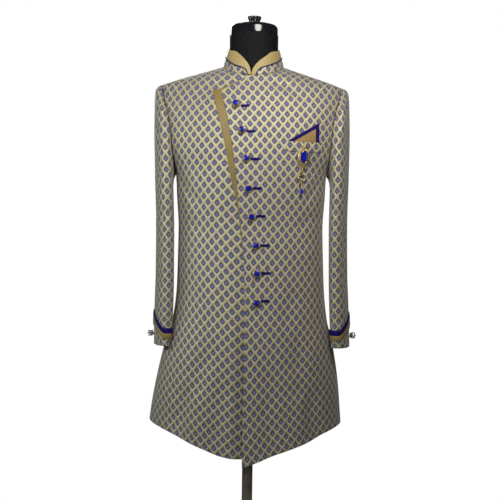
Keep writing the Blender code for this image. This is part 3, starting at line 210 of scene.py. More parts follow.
def oval(half_width, front, back, squareness):
    """x, y and arc length at each of SHARES round half a level oval, from centre front by the left side."""
    angle = np.linspace(0, math.pi, 361)
    depth = np.where(angle <= math.pi / 2, front, back)
    across = (np.abs(np.sin(angle)) / half_width) ** squareness
    along = (np.abs(np.cos(angle)) / depth) ** squareness
    radius = (across + along) ** (-1 / squareness)
    x, y = radius * np.sin(angle), -radius * np.cos(angle)
    length = np.append(0, np.cumsum(np.hypot(np.diff(x), np.diff(y))))
    side = length[len(angle) // 2]
    share = np.where(length <= side, length / side, 1 + (length - side) / (length[-1] - side))
    return [np.interp(SHARES, share, values) for values in (x, y, length)]


LEVELS = np.linspace(0.380, SHOULDER, 371)
MEASURES_AT = (half_width_at, front_depth_at, back_depth_at, squareness_at)
RINGS = np.array([oval(*(at(z) for at in MEASURES_AT)) for z in LEVELS])
NECK_RING = oval(NECK_HALF_WIDTH, NECK_DEPTH, NECK_DEPTH, 2.0)


def in_rings(which, q, h):
    """Reads x (0), y (1) or arc length (2) off the stack of ovals."""
    q, h = arrays(q, h)
    row = np.clip((h - LEVELS[0]) / (LEVELS[1] - LEVELS[0]), 0, len(LEVELS) - 1.0001)
    column = np.clip(q / (SHARES[1] - SHARES[0]), 0, len(SHARES) - 1.0001)
    i, j = row.astype(int), column.astype(int)
    s, t = row - i, column - j
    values = RINGS[:, which]
    low = mix(values[i, j], values[i, j + 1], t)
    return mix(low, mix(values[i + 1, j], values[i + 1, j + 1], t), s)


def fold(q):
    """The share q brought between -2 and 2."""
    return (np.asarray(q, float) + 2) % 4 - 2


print("read", len(LEVELS), "ovals,", round(2 * RINGS[0, 2, -1], 3), "m round the hem")

# %% [markdown]
# ## The coat's surface
# Up to the shoulder the surface follows the ovals. Above, a yoke runs in from the last oval to the neckline.
# Cloth, trims and buttons are all lifted off this one surface, square to it.


# %% the coat's surface
def on_ring(ring, height_at, q):
    """The points at shares q round a ring about the neck."""
    q = fold(q)
    x = np.sign(q) * np.interp(np.abs(q), SHARES, ring[0]) + NECK_SHIFT
    return np.stack([x, np.interp(np.abs(q), SHARES, ring[1]), height_at(np.abs(q))], -1)


def surface(q, h):
    """The coat's outer surface: level ovals up to the shoulder, then a yoke that runs in to the neckline."""
    q, h = arrays(q, h)
    level = np.minimum(h, SHOULDER)
    folded = fold(q)
    x = np.sign(folded) * in_rings(0, np.abs(folded), level) + lean_at(level)
    points = np.stack([x, in_rings(1, np.abs(folded), level), level], -1)
    rise = np.maximum(0, (h - SHOULDER) / YOKE_SPAN)
    points = mix(points, on_ring(NECK_RING, neckline_at, q), rise[..., None])
    points[..., 2] += YOKE_CROWN * 4 * rise * (1 - rise) * np.abs(np.sin(math.pi * q))
    near_side = ease(1 - 2 * np.abs(np.abs(folded) - 1))
    padding = ease((h - PAD_START) / (SHOULDER - PAD_START)) * ease(1.1 - 1.2 * rise) * near_side
    points[..., 2] += np.where(folded > 0, PAD_LEFT, PAD_RIGHT) * padding
    return points


def way_out(point_at, q, h, dq, dh, most=math.inf):
    """The direction square to a surface at a place on it, read from its neighbours."""
    q, h = arrays(q, h)
    across = point_at(q + dq, h) - point_at(q - dq, h)
    return unit(np.cross(across, point_at(q, np.minimum(h + dh, most)) - point_at(q, h - dh)))


def outward(q, h):
    return way_out(surface, q, h, 0.02, 0.004, TOP)


def lifted(q, h, lift):
    return surface(q, h) + outward(q, h) * np.asarray(lift, float)[..., None]


print("a point at the left side seam:", surface(1.0, 0.9).round(4))

# %% [markdown]
# ## Finding a place on the coat
# Edges, seams and buttons are known by where they stand, so their share round is found from that.
# Halving a stretch is slow but sure. Newton's steps follow the surface's own slope and close in much faster.

# %% places on the coat
NEWTON_STEP, NEWTON_ROUNDS = 0.0005, 12


def halved(low, high, past, shape, steps):
    """Halves the stretch from low to high, and closes in on where past turns true."""
    low, high = np.full(shape, low), np.full(shape, high)
    for _ in range(steps):
        middle = (low + high) / 2
        beyond = past(middle)
        low, high = np.where(beyond, low, middle), np.where(beyond, middle, high)
    return low


def stood_at(point_at, x, z, q, h, most=math.inf):
    """(q, h) of the surface's point that stands at x and z, by a few Newton steps from a first guess."""
    step = NEWTON_STEP
    for _ in range(NEWTON_ROUNDS):
        here = point_at(q, h)
        by_q, by_h = (point_at(q + step, h) - here) / step, (point_at(q, h + step) - here) / step
        miss_x, miss_z = x - here[..., 0], z - here[..., 2]
        size = by_q[..., 0] * by_h[..., 2] - by_h[..., 0] * by_q[..., 2]
        q = q + (miss_x * by_h[..., 2] - by_h[..., 0] * miss_z) / size
        h = np.minimum(h + (by_q[..., 0] * miss_z - miss_x * by_q[..., 2]) / size, most)
    return q, h


def q_of_front(x, h):
    """The share q at which the front's section at height h passes x."""
    x, h = arrays(x, h)
    level = np.minimum(h, SHOULDER)
    x = x - lean_at(level)
    return np.sign(x) * halved(0.0, 1.0, lambda q: in_rings(0, q, level) > np.abs(x), x.shape, 26)


def q_on_neckline(x):
    x = np.asarray(x, float) - NECK_SHIFT
    return np.sign(x) * np.interp(np.abs(x), NECK_RING[0][:TO_SIDE + 1], SHARES[:TO_SIDE + 1])


def front_place(x, z):
    x, z = arrays(x, z)
    return stood_at(surface, x, z, q_of_front(x, z), z, TOP)


print("share round at the waist, 0.1 m out:", np.round(q_of_front(0.1, 0.955), 4))

# %% [markdown]
# ## Cloth as a thin shell
# Each piece of cloth is a grid of points on the outer face,
# and the same grid moved inward by the cloth's thickness.
# A turned edge closes the two faces, rounded a little, as cloth folded under and pressed is.
# The map of the weave is in repeats of its pattern, so one fabric serves every panel,
# each with its own grain.


# %% thin shells
RIM_ROUND = 0.35


def new_piece(name, data):
    made = bpy.data.objects.new(name, data)
    bpy.context.scene.collection.objects.link(made)
    return made


def mesh_piece(name, points, faces, material):
    mesh = bpy.data.meshes.new(name)
    mesh.from_pydata(points.tolist(), [], faces)
    mesh.shade_smooth()
    mesh.materials.append(material)
    return new_piece(name, mesh)


def rides(made, node, body=COAT):
    """Puts a piece on its body in place of a solid, and counts its edges that don't join two faces."""
    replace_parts(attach(made, body), node)
    uses = Counter(pair for face in made.data.polygons for pair in face.edge_keys)
    loose = sum(count != 2 for count in uses.values())
    print(made.name, len(made.data.polygons), "faces,", loose, "open edges")
    return made


def facing(grid, tube=False):
    """The direction square to a grid of points at each of them."""
    across = np.roll(grid, -1, 1) - np.roll(grid, 1, 1) if tube else np.gradient(grid, axis=1)
    return unit(np.cross(across, np.gradient(grid, axis=0)))


def quads(grid):
    return np.stack([grid[:-1, :-1], grid[:-1, 1:], grid[1:, 1:], grid[1:, :-1]], 2).reshape(-1, 4, 3)


def thin_shell(name, outer, thickness, weave, material, tube=False, inner=None):
    """A closed shell under a grid of points [row, column]; a tube's rows run all round."""
    rows, columns = outer.shape[:2]
    if inner is None:
        inner = outer - facing(outer, tube) * thickness
    index = np.arange(rows * columns).reshape(rows, columns)
    if tube:
        index = np.concatenate([index, index[:, :1]], 1)
    # a corner of a face is a point's number and its place on the weave
    corner = np.dstack([index, weave])
    under = (rows * columns, 0, 0)
    faces = [quads(corner), quads(corner + under)[:, ::-1]]
    border = np.concatenate([corner[0], corner[1:, -1], corner[-1, -2::-1], corner[-2::-1, 0]])
    points = [outer.reshape(-1, 3), inner.reshape(-1, 3)]
    for end, loop in enumerate((corner[0], corner[-1]) if tube else (border,)):
        at = loop[:-1, 0].astype(int)
        rim_out, rim_in = points[0][at], points[1][at]
        middle = (rim_out + rim_in) / 2
        away = unit(np.cross(np.roll(middle, -1, 0) - np.roll(middle, 1, 0), rim_out - rim_in) + 1e-12)
        rim = loop.copy()
        rim[:, 0] = sum(map(len, points)) + np.append(np.arange(len(at)), 0)
        points.append(middle + away * (-1 if end else 1) * RIM_ROUND * thickness)
        for near, far in ((loop, rim), (rim, loop + under)):
            band = np.stack([near[1:], near[:-1], far[:-1], far[1:]], 1)
            faces.append(band[:, ::-1] if end else band)
    faces = np.concatenate(faces)
    made = mesh_piece(name, np.concatenate(points), faces[..., 0].astype(int).tolist(), material)
    layer = made.data.uv_layers.new(name="weave")
    layer.data.foreach_set("uv", faces[..., 1:].astype(np.float32).ravel())
    return made


print("shells are ready")

# %% [markdown]
# ## Wires that do sums
# A shader is a net of small steps joined by wires.
# Wrapping a wire in a class lets the pattern be written as sums.
# Colours and vectors mix through their own nodes, and any other node comes from one method.


# %% shader sums
class Wire:
    """One output socket of a shader tree."""

    def __init__(self, shader, socket):
        self.shader, self.socket = shader, socket

    def sum(self, operation, *others):
        return self.shader.node("ShaderNodeMath", {"operation": operation}, [self, *others])

    # each of these is the same sum with its operation filled in
    __add__ = __radd__ = partialmethod(sum, "ADD")
    __mul__ = __rmul__ = partialmethod(sum, "MULTIPLY")
    __sub__, __pow__ = partialmethod(sum, "SUBTRACT"), partialmethod(sum, "POWER")
    least, under = partialmethod(sum, "MINIMUM"), partialmethod(sum, "LESS_THAN")
    __abs__, fraction = partialmethod(sum, "ABSOLUTE"), partialmethod(sum, "FRACT")
    sine = partialmethod(sum, "SINE")

    def __rsub__(self, other):
        return (self * -1.0) + other

    def between(self, low, high):
        """0 below low, 1 above high, and smooth between."""
        inputs = {"Value": self, "From Min": low, "From Max": high}
        return self.shader.node("ShaderNodeMapRange", {"interpolation_type": "SMOOTHSTEP"}, inputs)


class Shader:
    """A material whose nodes are made as they are asked for."""

    def __init__(self, name, **constants):
        self.material = bpy.data.materials.new(name)
        self.material.use_nodes = True
        self.tree = self.material.node_tree
        self.finish = self.tree.nodes["Principled BSDF"]
        for key, value in constants.items():
            self.finish.inputs[key.replace("_", " ").title().replace("Ior", "IOR")].default_value = value

    def node(self, kind, settings=None, inputs=(), output=0):
        made = self.tree.nodes.new(kind)
        for key, value in (settings or {}).items():
            setattr(made, key, value)
        for key, value in inputs.items() if isinstance(inputs, dict) else enumerate(inputs):
            if isinstance(value, Wire):
                self.tree.links.new(value.socket, made.inputs[key])
            else:
                made.inputs[key].default_value = value
        return Wire(self, made.outputs[output])

    def blend(self, share, first, second):
        """One colour at share 0 and the other at 1."""
        first, second = [colour if isinstance(colour, Wire) else (*colour, 1) for colour in (first, second)]
        return self.node("ShaderNodeMix", {"data_type": "RGBA"}, {0: share, 6: first, 7: second}, 2)

    def weave(self):
        place = self.node("ShaderNodeUVMap", {"uv_map": "weave"})
        split = self.node("ShaderNodeSeparateXYZ", None, [place])
        return split, Wire(self, split.socket.node.outputs[1])

    def noise(self, scale, detail=2.0):
        place = self.node("ShaderNodeTexCoord", None, (), "Object")
        inputs = {"Scale": scale, "Detail": detail, "Vector": place}
        return self.node("ShaderNodeTexNoise", None, inputs, "Fac")

    def set(self, socket, value):
        self.tree.links.new(value.socket, self.finish.inputs[socket])

    def shaded(self, colour, shade):
        settings = {"operation": "SCALE"}
        self.set("Base Color", self.node("ShaderNodeVectorMath", settings, {0: colour, "Scale": shade}))

    def bump(self, height, strength, distance):
        inputs = {"Height": height, "Strength": strength, "Distance": distance}
        self.set("Normal", self.node("ShaderNodeBump", None, inputs))


print("shader sums are ready")

# %% [markdown]
# ## The lozenge brocade
# A brocade is woven in one go: navy lozenges with a pale heart sit in a lattice of gilt thread.
# How far a place lies from the nearest lozenge's middle picks its colour, so one number draws the whole
# pattern. Light and shade are painted on the lattice: it is paler below each lozenge's middle, a painted
# highlight as from a lamp above, and darker above it, a painted shade that darkens towards the hem.
# Fine ribs across the lattice stand for the gilt threads and catch the light unevenly.

# %% brocade
REPEAT_ACROSS, REPEAT_UP = 0.0220, 0.0270
LOZENGE_ACROSS, LOZENGE_UP = 0.0125, 0.0159
LOZENGE_CORNER = 1.15
THREADS_ACROSS, THREADS_UP = 34, 40


def brocade(name):
    cloth = Shader(name, roughness=0.55, sheen_weight=0.32, sheen_roughness=0.5)
    across, up = cloth.weave()

    def from_middle(a, b):
        """How far a place lies from its lozenge's middle, 1 at the outline, and how far above that middle."""
        above = b.fraction() - 0.5
        side = abs(a.fraction() - 0.5) * (2 * REPEAT_ACROSS / LOZENGE_ACROSS)
        rise = abs(above) * (2 * REPEAT_UP / LOZENGE_UP)
        return (side ** LOZENGE_CORNER + rise ** LOZENGE_CORNER) ** (1 / LOZENGE_CORNER), above

    away, above = from_middle(across, up)
    other_away, other_above = from_middle(across + 0.5, up + 0.5)
    above = above + (other_above - above) * other_away.under(away)
    away = away.least(other_away)
    heart = cloth.blend(away.between(0.10, 0.60), (0.25, 0.26, 0.40), (0.150, 0.150, 0.30))
    lozenge = cloth.blend(away.between(0.60, 0.90), heart, (0.030, 0.022, 0.075))
    # painted shade: the lattice's shaded colour, painted darker towards the hem
    lattice_painted_shade = cloth.blend(up.between(16.0, -8.0), (0.53, 0.465, 0.205), (0.33, 0.255, 0.080))
    # painted light and shade: the lattice is pale below each lozenge's middle and shaded above it, as if lit
    # from above
    lattice = cloth.blend(above.between(-0.24, 0.45), (0.70, 0.655, 0.45), lattice_painted_shade)
    colour = cloth.blend(away.between(0.96, 1.10), lozenge, lattice)
    ribs = (across * (THREADS_ACROSS * 2 * math.pi)).sine() * 0.5
    ribs = ribs + (up * (THREADS_UP * 2 * math.pi)).sine() * 0.5
    cloth.shaded(colour, cloth.noise(9.0, 3.0) * 0.10 + 0.95 + ribs * 0.08)
    gilt = away.between(0.98, 1.12)
    cloth.set("Metallic", gilt * 0.26)
    cloth.set("Roughness", 0.62 - gilt * 0.15)
    cloth.bump(ribs * 0.06 + away.between(0.94, 1.16), 1.0, 0.0010)
    return cloth.material


BROCADE = brocade("lozenge brocade")
print("the brocade repeats every", REPEAT_ACROSS * 1000, "mm across")

# %% [markdown]
# ## Satin, gilt, stone and the stand's finishes
# Satin is smooth along its length and shines in soft bands, so it takes a low roughness and a fine cross rib;
# broad lighter and darker patches are also painted into its colour, a painted sheen.
# The collar's satin is given a brighter colour than that of the other gold trims, and the folded square's is
# a little warmer.
# Old gold is worn brighter in small random patches. The stones are clear-coated glass, coloured deep inside.
# The form is covered in black jersey under a lacquered neck cap, and the stand is brushed steel.


# %% other finishes
def satin(name, colour, roughness, sheen=0.2, shine=0.5):
    cloth = Shader(name, roughness=roughness, sheen_weight=sheen, specular_ior_level=shine)
    across, up = cloth.weave()
    fine = ((across * 3 + up) * 900.0).sine() * 0.5 + cloth.noise(420.0, 1.0)
    base = cloth.node("ShaderNodeRGB")
    base.socket.default_value = (*colour, 1)
    # painted sheen: broad soft patches lighten and darken the colour; the fine twill is the weave's own
    cloth.shaded(base, cloth.noise(26.0, 3.0) * 0.55 + fine * 0.12 + 0.66)
    cloth.bump(fine, 0.35, 0.0002)
    return cloth.material


def metal(name, dark, bright, roughness, wear):
    made = Shader(name, metallic=1.0, roughness=roughness)
    patch = made.noise(wear, 3.0)
    made.set("Base Color", made.blend(patch.between(0.35, 0.65), dark, bright))
    made.set("Roughness", patch * 0.16 + (roughness - 0.08))
    return made.material


def lacquer(name, colour, roughness, coat, shine=0.5, contrast=2.0):
    made = Shader(name, roughness=roughness, coat_weight=coat, coat_roughness=0.05, specular_ior_level=shine)
    lighter = [value * contrast + 0.002 for value in colour]
    # The colour is mottled between itself and a lighter copy. On the jersey and lacquer this is a random
    # tone; on the blue stones it is painted glints, lighter patches standing for light caught unevenly by the
    # facets.
    made.set("Base Color", made.blend(made.noise(180.0).between(0.3, 0.7), colour, lighter))
    return made.material


GOLD_SATIN = satin("gold satin", (0.315, 0.225, 0.058), 0.42)
SQUARE_SATIN = satin("square satin", (0.42, 0.265, 0.068), 0.42)
COLLAR_SATIN = satin("collar satin", (0.56, 0.42, 0.165), 0.38)
NAVY_SATIN = satin("navy satin", (0.014, 0.006, 0.135), 0.60, 0.01, 0.12)
OLD_GOLD = metal("old gold", (0.34, 0.23, 0.09), (0.90, 0.74, 0.42), 0.26, 260.0)
PALE_GILT = metal("pale gilt", (0.36, 0.33, 0.27), (1.0, 0.97, 0.88), 0.20, 260.0)
# painted glints: lighter blue patches stand for light caught unevenly by the stones' facets
BLUE_STONE = lacquer("blue stone", (0.002, 0.008, 0.20), 0.12, 0.6, 0.5, 3.2)
BLACK_COVER = lacquer("black jersey", (0.0055, 0.006, 0.006), 0.70, 0.0, 0.12)
BLACK_GLOSS = lacquer("black lacquer", (0.006, 0.006, 0.008), 0.16, 0.5)
STEEL = metal("brushed steel", (0.22, 0.20, 0.16), (0.40, 0.37, 0.30), 0.36, 18.0)
print("finishes:", len(bpy.data.materials))

# %% [markdown]
# ## The weave's place on each panel
# A panel is cut with its grain straight down,
# so across is measured along the level section from centre front.
# Above the shoulder's level the cloth is taken as falling straight over the shoulder from there.
# Each front has its own turn and start,
# because the two were cut apart and the lattice doesn't match at the closing.


# %% weave
HALF_SEAM = 0.00015
ARMHOLE_LEVELS = np.linspace(ARMPIT, SHOULDER, 221)


def fall(points, h, back=False):
    """Across and up, in metres, for points of the coat's surface at the heights h."""
    high = np.minimum(h, SHOULDER)
    q = q_of_front(points[..., 0], high)
    across = np.sign(q) * in_rings(2, np.abs(q), high)
    below = surface(2 - q if back else q, high)
    over = np.hypot(points[..., 1] - below[..., 1], points[..., 2] - high)
    return across, high + np.where(h > SHOULDER, over, 0.0)


def weave_map(across, up, slope, start, drift=None, reach=0.85):
    """Repeats across and up.

    Slope is how far the rows climb for each metre across; drift bends them as worn cloth does.
    """
    a = (across - start[0]) / REPEAT_ACROSS
    b = (up - start[1] - (across - start[0]) * slope) / REPEAT_UP
    if drift is None:
        return np.stack([a, b], -1)
    u, w = np.clip(a * REPEAT_ACROSS * 5, -reach, reach), np.clip(b * REPEAT_UP * 2, -0.55, 1.25)
    bends = np.stack([u ** i * w ** j for i in range(4) for j in range(4 - i)], -1)
    return np.stack([a, b], -1) + bends @ np.array(drift).T


def read_armhole(back):
    """The armhole seam's share round at each level of the armhole."""
    shares, way = (SHARES[TO_SIDE:], -1) if back else (SHARES[:TO_SIDE + 1], 1)
    return [np.interp(way * armhole_at(z), way * in_rings(0, shares, z), shares) for z in ARMHOLE_LEVELS]


ARMHOLE_SHARES = {back: read_armhole(back) for back in (False, True)}


def armhole_share(h, back):
    """Where the armhole's seam crosses the section at height h, or the side seam below it."""
    share = np.interp(h, ARMHOLE_LEVELS, ARMHOLE_SHARES[back])
    return np.where((np.asarray(h) <= ARMPIT) | (np.asarray(h) >= SHOULDER), 1.0, share)


def outer_edge(h, back=False):
    """A panel's edge: half a seam's gap short of the armhole's seam."""
    gap = HALF_SEAM / in_rings(2, 1.0, np.minimum(h, SHOULDER))
    return armhole_share(h, back) + gap * (1 if back else -1)


print("weave map ready")

# %% [markdown]
# ## The two fronts and the back
# Each panel is drawn in columns from its inner edge to its side,
# and in rows from the hem through the armhole to the neck.
# The left front closes over the right one,
# so the right one sinks by a cloth's thickness before it goes under.

# %% panel grids
CLOTH = 0.0020
LAP_GAP = 0.0008
SKIRT_ROWS, CHEST_ROWS, YOKE_ROWS = 96, 40, 22
YOKE_STEPS = np.linspace(0, 1, YOKE_ROWS + 1)
YOKE_SHARES = (YOKE_STEPS * YOKE_ROWS + 1) / (YOKE_ROWS + 1)


def lap_line(t, distance):
    """(q, h) a share t up the lapel's slanted top edge, at a distance outside it."""
    low_x = closing_edge_at(LAPEL_CORNER) - distance
    top_x = LAPEL_TOP_X - distance * LAPEL_SLANT
    top_z = neckline_at(np.abs(q_on_neckline(top_x)))
    return front_place(mix(low_x, top_x, t), mix(LAPEL_CORNER, top_z, t))


def rows_below_yoke(hem, share):
    """A column's heights from its hem to the yoke; share is 0 at the inner edge and 1 at the armhole."""
    low = mix(hem, ARMPIT, np.linspace(0, 1, SKIRT_ROWS + 1))
    rise = np.linspace(0, 1, CHEST_ROWS + 1)[1:]
    return np.append(low, mix(mix(ARMPIT, LEFT_YOKE_START, rise), mix(ARMPIT, SHOULDER, rise), share))


def stacked(columns):
    """Columns of (q, h) as two grids [row, column]."""
    return np.moveaxis(np.array([[np.concatenate(parts) for parts in column] for column in columns]), 0, -1)


def left_front_grid(columns=84, lapel_columns=22):
    """q and h of the left front, from the closing edge to the side."""
    made = []
    for step in range(columns + 1):
        share, along = step / columns, (step - lapel_columns) / (columns - lapel_columns)
        q_low = mix(q_of_front(closing_edge_at(HEM_LEVEL), HEM_LEVEL), 1.0, share)
        h = rows_below_yoke(left_hem_at(surface(q_low, HEM_LEVEL)[0]), share)
        q = mix(q_of_front(closing_edge_at(h), h), outer_edge(h), share)
        top_q, top_h = mix(q_on_neckline(LAPEL_TOP_X), outer_edge(TOP), along), TOP
        if along <= 0:
            top_q, top_h = lap_line(step / lapel_columns, 0.0)
        made.append(((q, mix(q[-1], top_q, YOKE_STEPS[1:])), (h, mix(h[-1], top_h, YOKE_STEPS[1:]))))
    return stacked(made)


print("rows in a panel:", rows_below_yoke(0.4, 0.0).size + YOKE_ROWS)

# %% [markdown]
# ## The right front's grid
# The right front runs on under the left one,
# so its last columns sink and end at an edge of its own that nobody sees.
# It is drawn from the side inwards,
# and each of those columns keeps a distance from the left front's closing edge.


# %% right front and back grids
def right_front_grid(columns=66):
    """q, h and sink of the right front, from the side to the edge that lies hidden under the left front."""
    made = []
    inner_q, inner_h = lap_line(YOKE_STEPS, LAP_START)
    outer_h = mix(SHOULDER, TOP, YOKE_SHARES)
    for step in range(columns + 1):
        share = 1 - step / columns
        q_low = mix(q_of_front(closing_edge_at(HEM_LEVEL) - LAP_START, HEM_LEVEL), -1.0, share)
        h = rows_below_yoke(right_hem_at(surface(q_low, HEM_LEVEL)[0]), share)
        q = mix(q_of_front(closing_edge_at(h) - LAP_START, h), -outer_edge(h), share)
        made.append(((q, mix(inner_q, -outer_edge(outer_h), share)), (h, mix(inner_h, outer_h, share))))
    under_edge = (0.019, 0.014, 0.009, LAP_FULL, 0.0)
    for distance in under_edge:
        h = rows_below_yoke(right_hem_at(closing_edge_at(HEM_LEVEL) - distance), 0.0)
        over_q, over_h = lap_line(YOKE_STEPS, distance)
        made.append(((q_of_front(closing_edge_at(h) - distance, h), over_q), (h, over_h)))
    q, h = stacked(made)
    low_h = rows_below_yoke(right_hem_at(HIDDEN_HEM), 0.0)
    low_q = q_of_front(hidden_edge_at(low_h), low_h)
    top_q = q_on_neckline(hidden_edge_at(SHOULDER))
    hidden_q = np.append(low_q, mix(low_q[-1], top_q, YOKE_SHARES))
    hidden_h = np.append(low_h, mix(low_h[-1], TOP, YOKE_SHARES))
    shares = np.array([0.25, 0.5, 0.75, 1.0])
    q = np.hstack([q, mix(q[:, -1:], hidden_q[:, None], shares)])
    h = np.hstack([h, mix(h[:, -1:], hidden_h[:, None], shares)])
    sink = np.clip((LAP_START - np.array(under_edge)) / (LAP_START - LAP_FULL), 0, 1)
    return q, h, np.concatenate([np.zeros(columns + 1), sink, np.ones(len(shares))])


def back_grid(columns=120):
    """q and h of the back, from the left side seam round to the right one."""
    made = []
    for step in range(columns + 1):
        near_side = abs(mix(1.0, 3.0, step / columns) - 2)
        h = rows_below_yoke(mix(BACK_HEM_MIDDLE, BACK_HEM_SIDE, near_side ** 2), 1.0)
        h = np.append(h, mix(SHOULDER, TOP, YOKE_STEPS[1:]))
        edge = outer_edge(h, back=True)
        made.append(([mix(edge, 4 - edge, step / columns)], [h]))
    return stacked(made)


print("panel grids ready")

# %% [markdown]
# ## Creases and the sewn panels
# Sewn cloth gives: it dips along its seams, and soft creases run from the armholes and down the skirt.
# A crease is a trough with two ends, a depth and a width, so a short table holds all those of a panel.
# The weave of a worn front drifts a little, and a few numbers bend its rows and columns.

# %% build the panels
# how far the weave's rows climb, and where it starts across and up
LEFT_WEAVE = (-0.015, (0.0276, 0.6833))
RIGHT_WEAVE = (-0.107, (-0.0750, 0.6900))
BACK_WEAVE = (0.0, (0.0, 0.700))
LEFT_DRIFT = (
    (-0.47, -0.01, -1.41, 1.22, 0.02, -0.31, -0.03, 0.44, -0.20, -0.32),
    (-0.48, 0.41, -0.57, 0.46, -0.33, 1.47, -1.11, -0.71, 0.19, 0.69),
)
RIGHT_DRIFT = (
    (0.00, 1.12, -0.57, -0.82, -0.30, -0.75, 0.13, -1.49, -0.50, -1.51),
    (-0.05, 0.87, -1.37, 0.65, 0.36, -0.88, -0.03, 0.14, -0.09, -0.41),
)
# across and up of a crease's two ends, its depth (below 0 for a ridge) and its half width
LEFT_CREASES = mm(
    (52, 1318, 135, 1268, 2.8, 12), (188, 1070, 140, 1018, 3.8, 12), (172, 985, 105, 950, 2.2, 10),
    (168, 900, 120, 884, -1.7, 14), (105, 805, 88, 715, 3.4, 20), (112, 665, 182, 470, 7.2, 24),
    (150, 640, 128, 440, -5.2, 22), (52, 600, 62, 410, 4.1, 22),
)
RIGHT_CREASES = mm(
    (-60, 1322, -140, 1272, 3.1, 14), (-186, 1072, -128, 1004, 4.1, 12), (-170, 968, -112, 938, 2.1, 12),
    (-120, 850, -90, 760, -2.4, 18), (-102, 650, -172, 468, 6.6, 25), (-142, 610, -118, 440, -4.5, 20),
    (-62, 585, -70, 415, 3.8, 21),
)
BACK_CREASES = mm(
    (60, 1012, 158, 978, 5.8, 12), (-48, 992, -150, 952, 4.9, 11), (85, 958, -35, 930, 3.2, 10),
    (105, 1248, 172, 1160, 4.4, 13), (-112, 1240, -176, 1140, 4.9, 14), (190, 1076, 142, 1030, 4.1, 10),
    (-190, 1070, -150, 1012, 4.4, 12), (82, 715, 122, 455, 10.6, 26), (-74, 735, -132, 460, 9.4, 24),
    (4, 680, 12, 445, 7, 20), (48, 640, 60, 448, -7, 18), (-36, 650, -58, 450, -6.1, 18),
    (150, 640, 182, 470, -6.1, 20), (-160, 620, -190, 470, -5.3, 20),
)
SEAM_DENT, SEAM_DENT_WIDTH = 0.0007, 0.0035
ROLLED_EDGE, ROLLED_EDGE_WIDTH = 0.0009, 0.0030
SKIRT_DROP, SKIRT_DROP_LEVEL, SKIRT_DROP_SPAN = 0.0060, 0.78, 0.20


def creased(across, up, creases):
    """The lift of soft creases: troughs that die away to their sides and at their ends."""
    lift = np.zeros(np.shape(across))
    for a0, u0, a1, u1, depth, half_width in creases:
        length = math.hypot(a1 - a0, u1 - u0)
        ahead = ((across - a0) * (a1 - a0) + (up - u0) * (u1 - u0)) / length
        beside = ((across - a0) * (u1 - u0) - (up - u0) * (a1 - a0)) / length
        beside = beside + 0.12 * half_width * np.sin(ahead * 90 + a0 * 300)
        fade = ease(0.5 + 1.6 * np.minimum(ahead, length - ahead) / length)
        lift -= depth * fade * np.exp(-((beside / half_width) ** 2))
    return lift


def panel(name, node, q, h, weave, creases, drift=None, lift=0.0):
    """A panel with its creases, dipping towards its sewn seams at the sides, armholes and shoulders."""
    back = node == "back"
    across, up = fall(surface(q, h), h, back)
    level = np.minimum(h, SHOULDER)
    from_seam = in_rings(2, np.abs(fold(q)), level) - in_rings(2, outer_edge(h, back), level)
    lift = lift + creased(across, up, creases) - SEAM_DENT * np.exp(-((from_seam / SEAM_DENT_WIDTH) ** 2))
    outer, inner = lifted(q, h, lift), lifted(q, h, lift - CLOTH)
    made = thin_shell(name, outer, CLOTH, weave_map(across, up, *weave, drift), BROCADE, inner=inner)
    rides(made, node)


q, h = left_front_grid()
edge_across, _ = fall(surface(q[:, :1], h[:, :1]), h[:, :1])
from_edge = in_rings(2, np.abs(q), np.minimum(h, SHOULDER)) * np.sign(q) - edge_across
rolled = ROLLED_EDGE * np.exp(-((from_edge / ROLLED_EDGE_WIDTH) ** 2))
panel("left_front_panel", "front_left", q, h, LEFT_WEAVE, LEFT_CREASES, LEFT_DRIFT, rolled)
q, h, sink = right_front_grid()
drop = sink * (CLOTH + LAP_GAP + SKIRT_DROP * ease((SKIRT_DROP_LEVEL - h) / SKIRT_DROP_SPAN))
panel("right_front_panel", "front_right", q, h, RIGHT_WEAVE, RIGHT_CREASES, RIGHT_DRIFT, -drop)
q, h = back_grid()
panel("back_panel", "back", q, h, BACK_WEAVE, BACK_CREASES)

# %% [markdown]
# ## Sleeves
# A sleeve starts on the armhole's seam,
# rolls over the shoulder and hangs as a flattened tube down to the cuff.
# It is pushed clear of the coat's side below the armpit, as a stuffed sleeve hanging beside a form is.
# The rings of points tilt with the armhole at the top and have levelled out well above the cuff.

# %% sleeves
SIDES = ((1, "left"), (-1, "right"))
sleeve_middle_at, sleeve_thickness_at = smooth_curve(SLEEVE, 1), smooth_curve(SLEEVE, 2)
sleeve_forward_at, sleeve_depth_at = smooth_curve(SLEEVE, 3), smooth_curve(SLEEVE, 4)
sleeve_lean_at = smooth_curve(SLEEVE_LEAN)
ARMHOLE_MIDDLE, ARMHOLE_HALF = (SHOULDER + ARMPIT) / 2, (SHOULDER - ARMPIT) / 2


def body_side(side, y, z):
    """How far out the coat's body reaches at y and z on that side."""
    h = np.minimum(z, SHOULDER)
    power = squareness_at(h)
    share = np.minimum(0.999, np.abs(y) / np.where(y < 0, front_depth_at(h), back_depth_at(h)))
    return half_width_at(h) * (1 - share ** power) ** (1 / power) + side * lean_at(h)


def hanging_point(side, turn, z):
    """The hanging sleeve's flattened section at height z, kept clear of the coat's side."""
    parts = (np.cos(turn), np.sin(turn))
    across, along = [np.sign(part) * np.abs(part) ** (2 / SLEEVE_SQUARENESS) for part in parts]
    narrowed = np.sqrt(sleeve_thickness_at(z) ** 2 - SLEEVE_SKEW ** 2)
    out = sleeve_middle_at(z) + side * sleeve_lean_at(z) + narrowed * across - SLEEVE_SKEW * along
    y = sleeve_forward_at(z) - sleeve_depth_at(z) * along
    limit = body_side(side, y, z) + SLEEVE_CLEARANCE
    pushed = 0.5 * (out + limit + np.hypot(out - limit, PUSH_SOFTNESS))
    return np.stack([side * np.where(z < ARMPIT, pushed, out), y, z], -1)


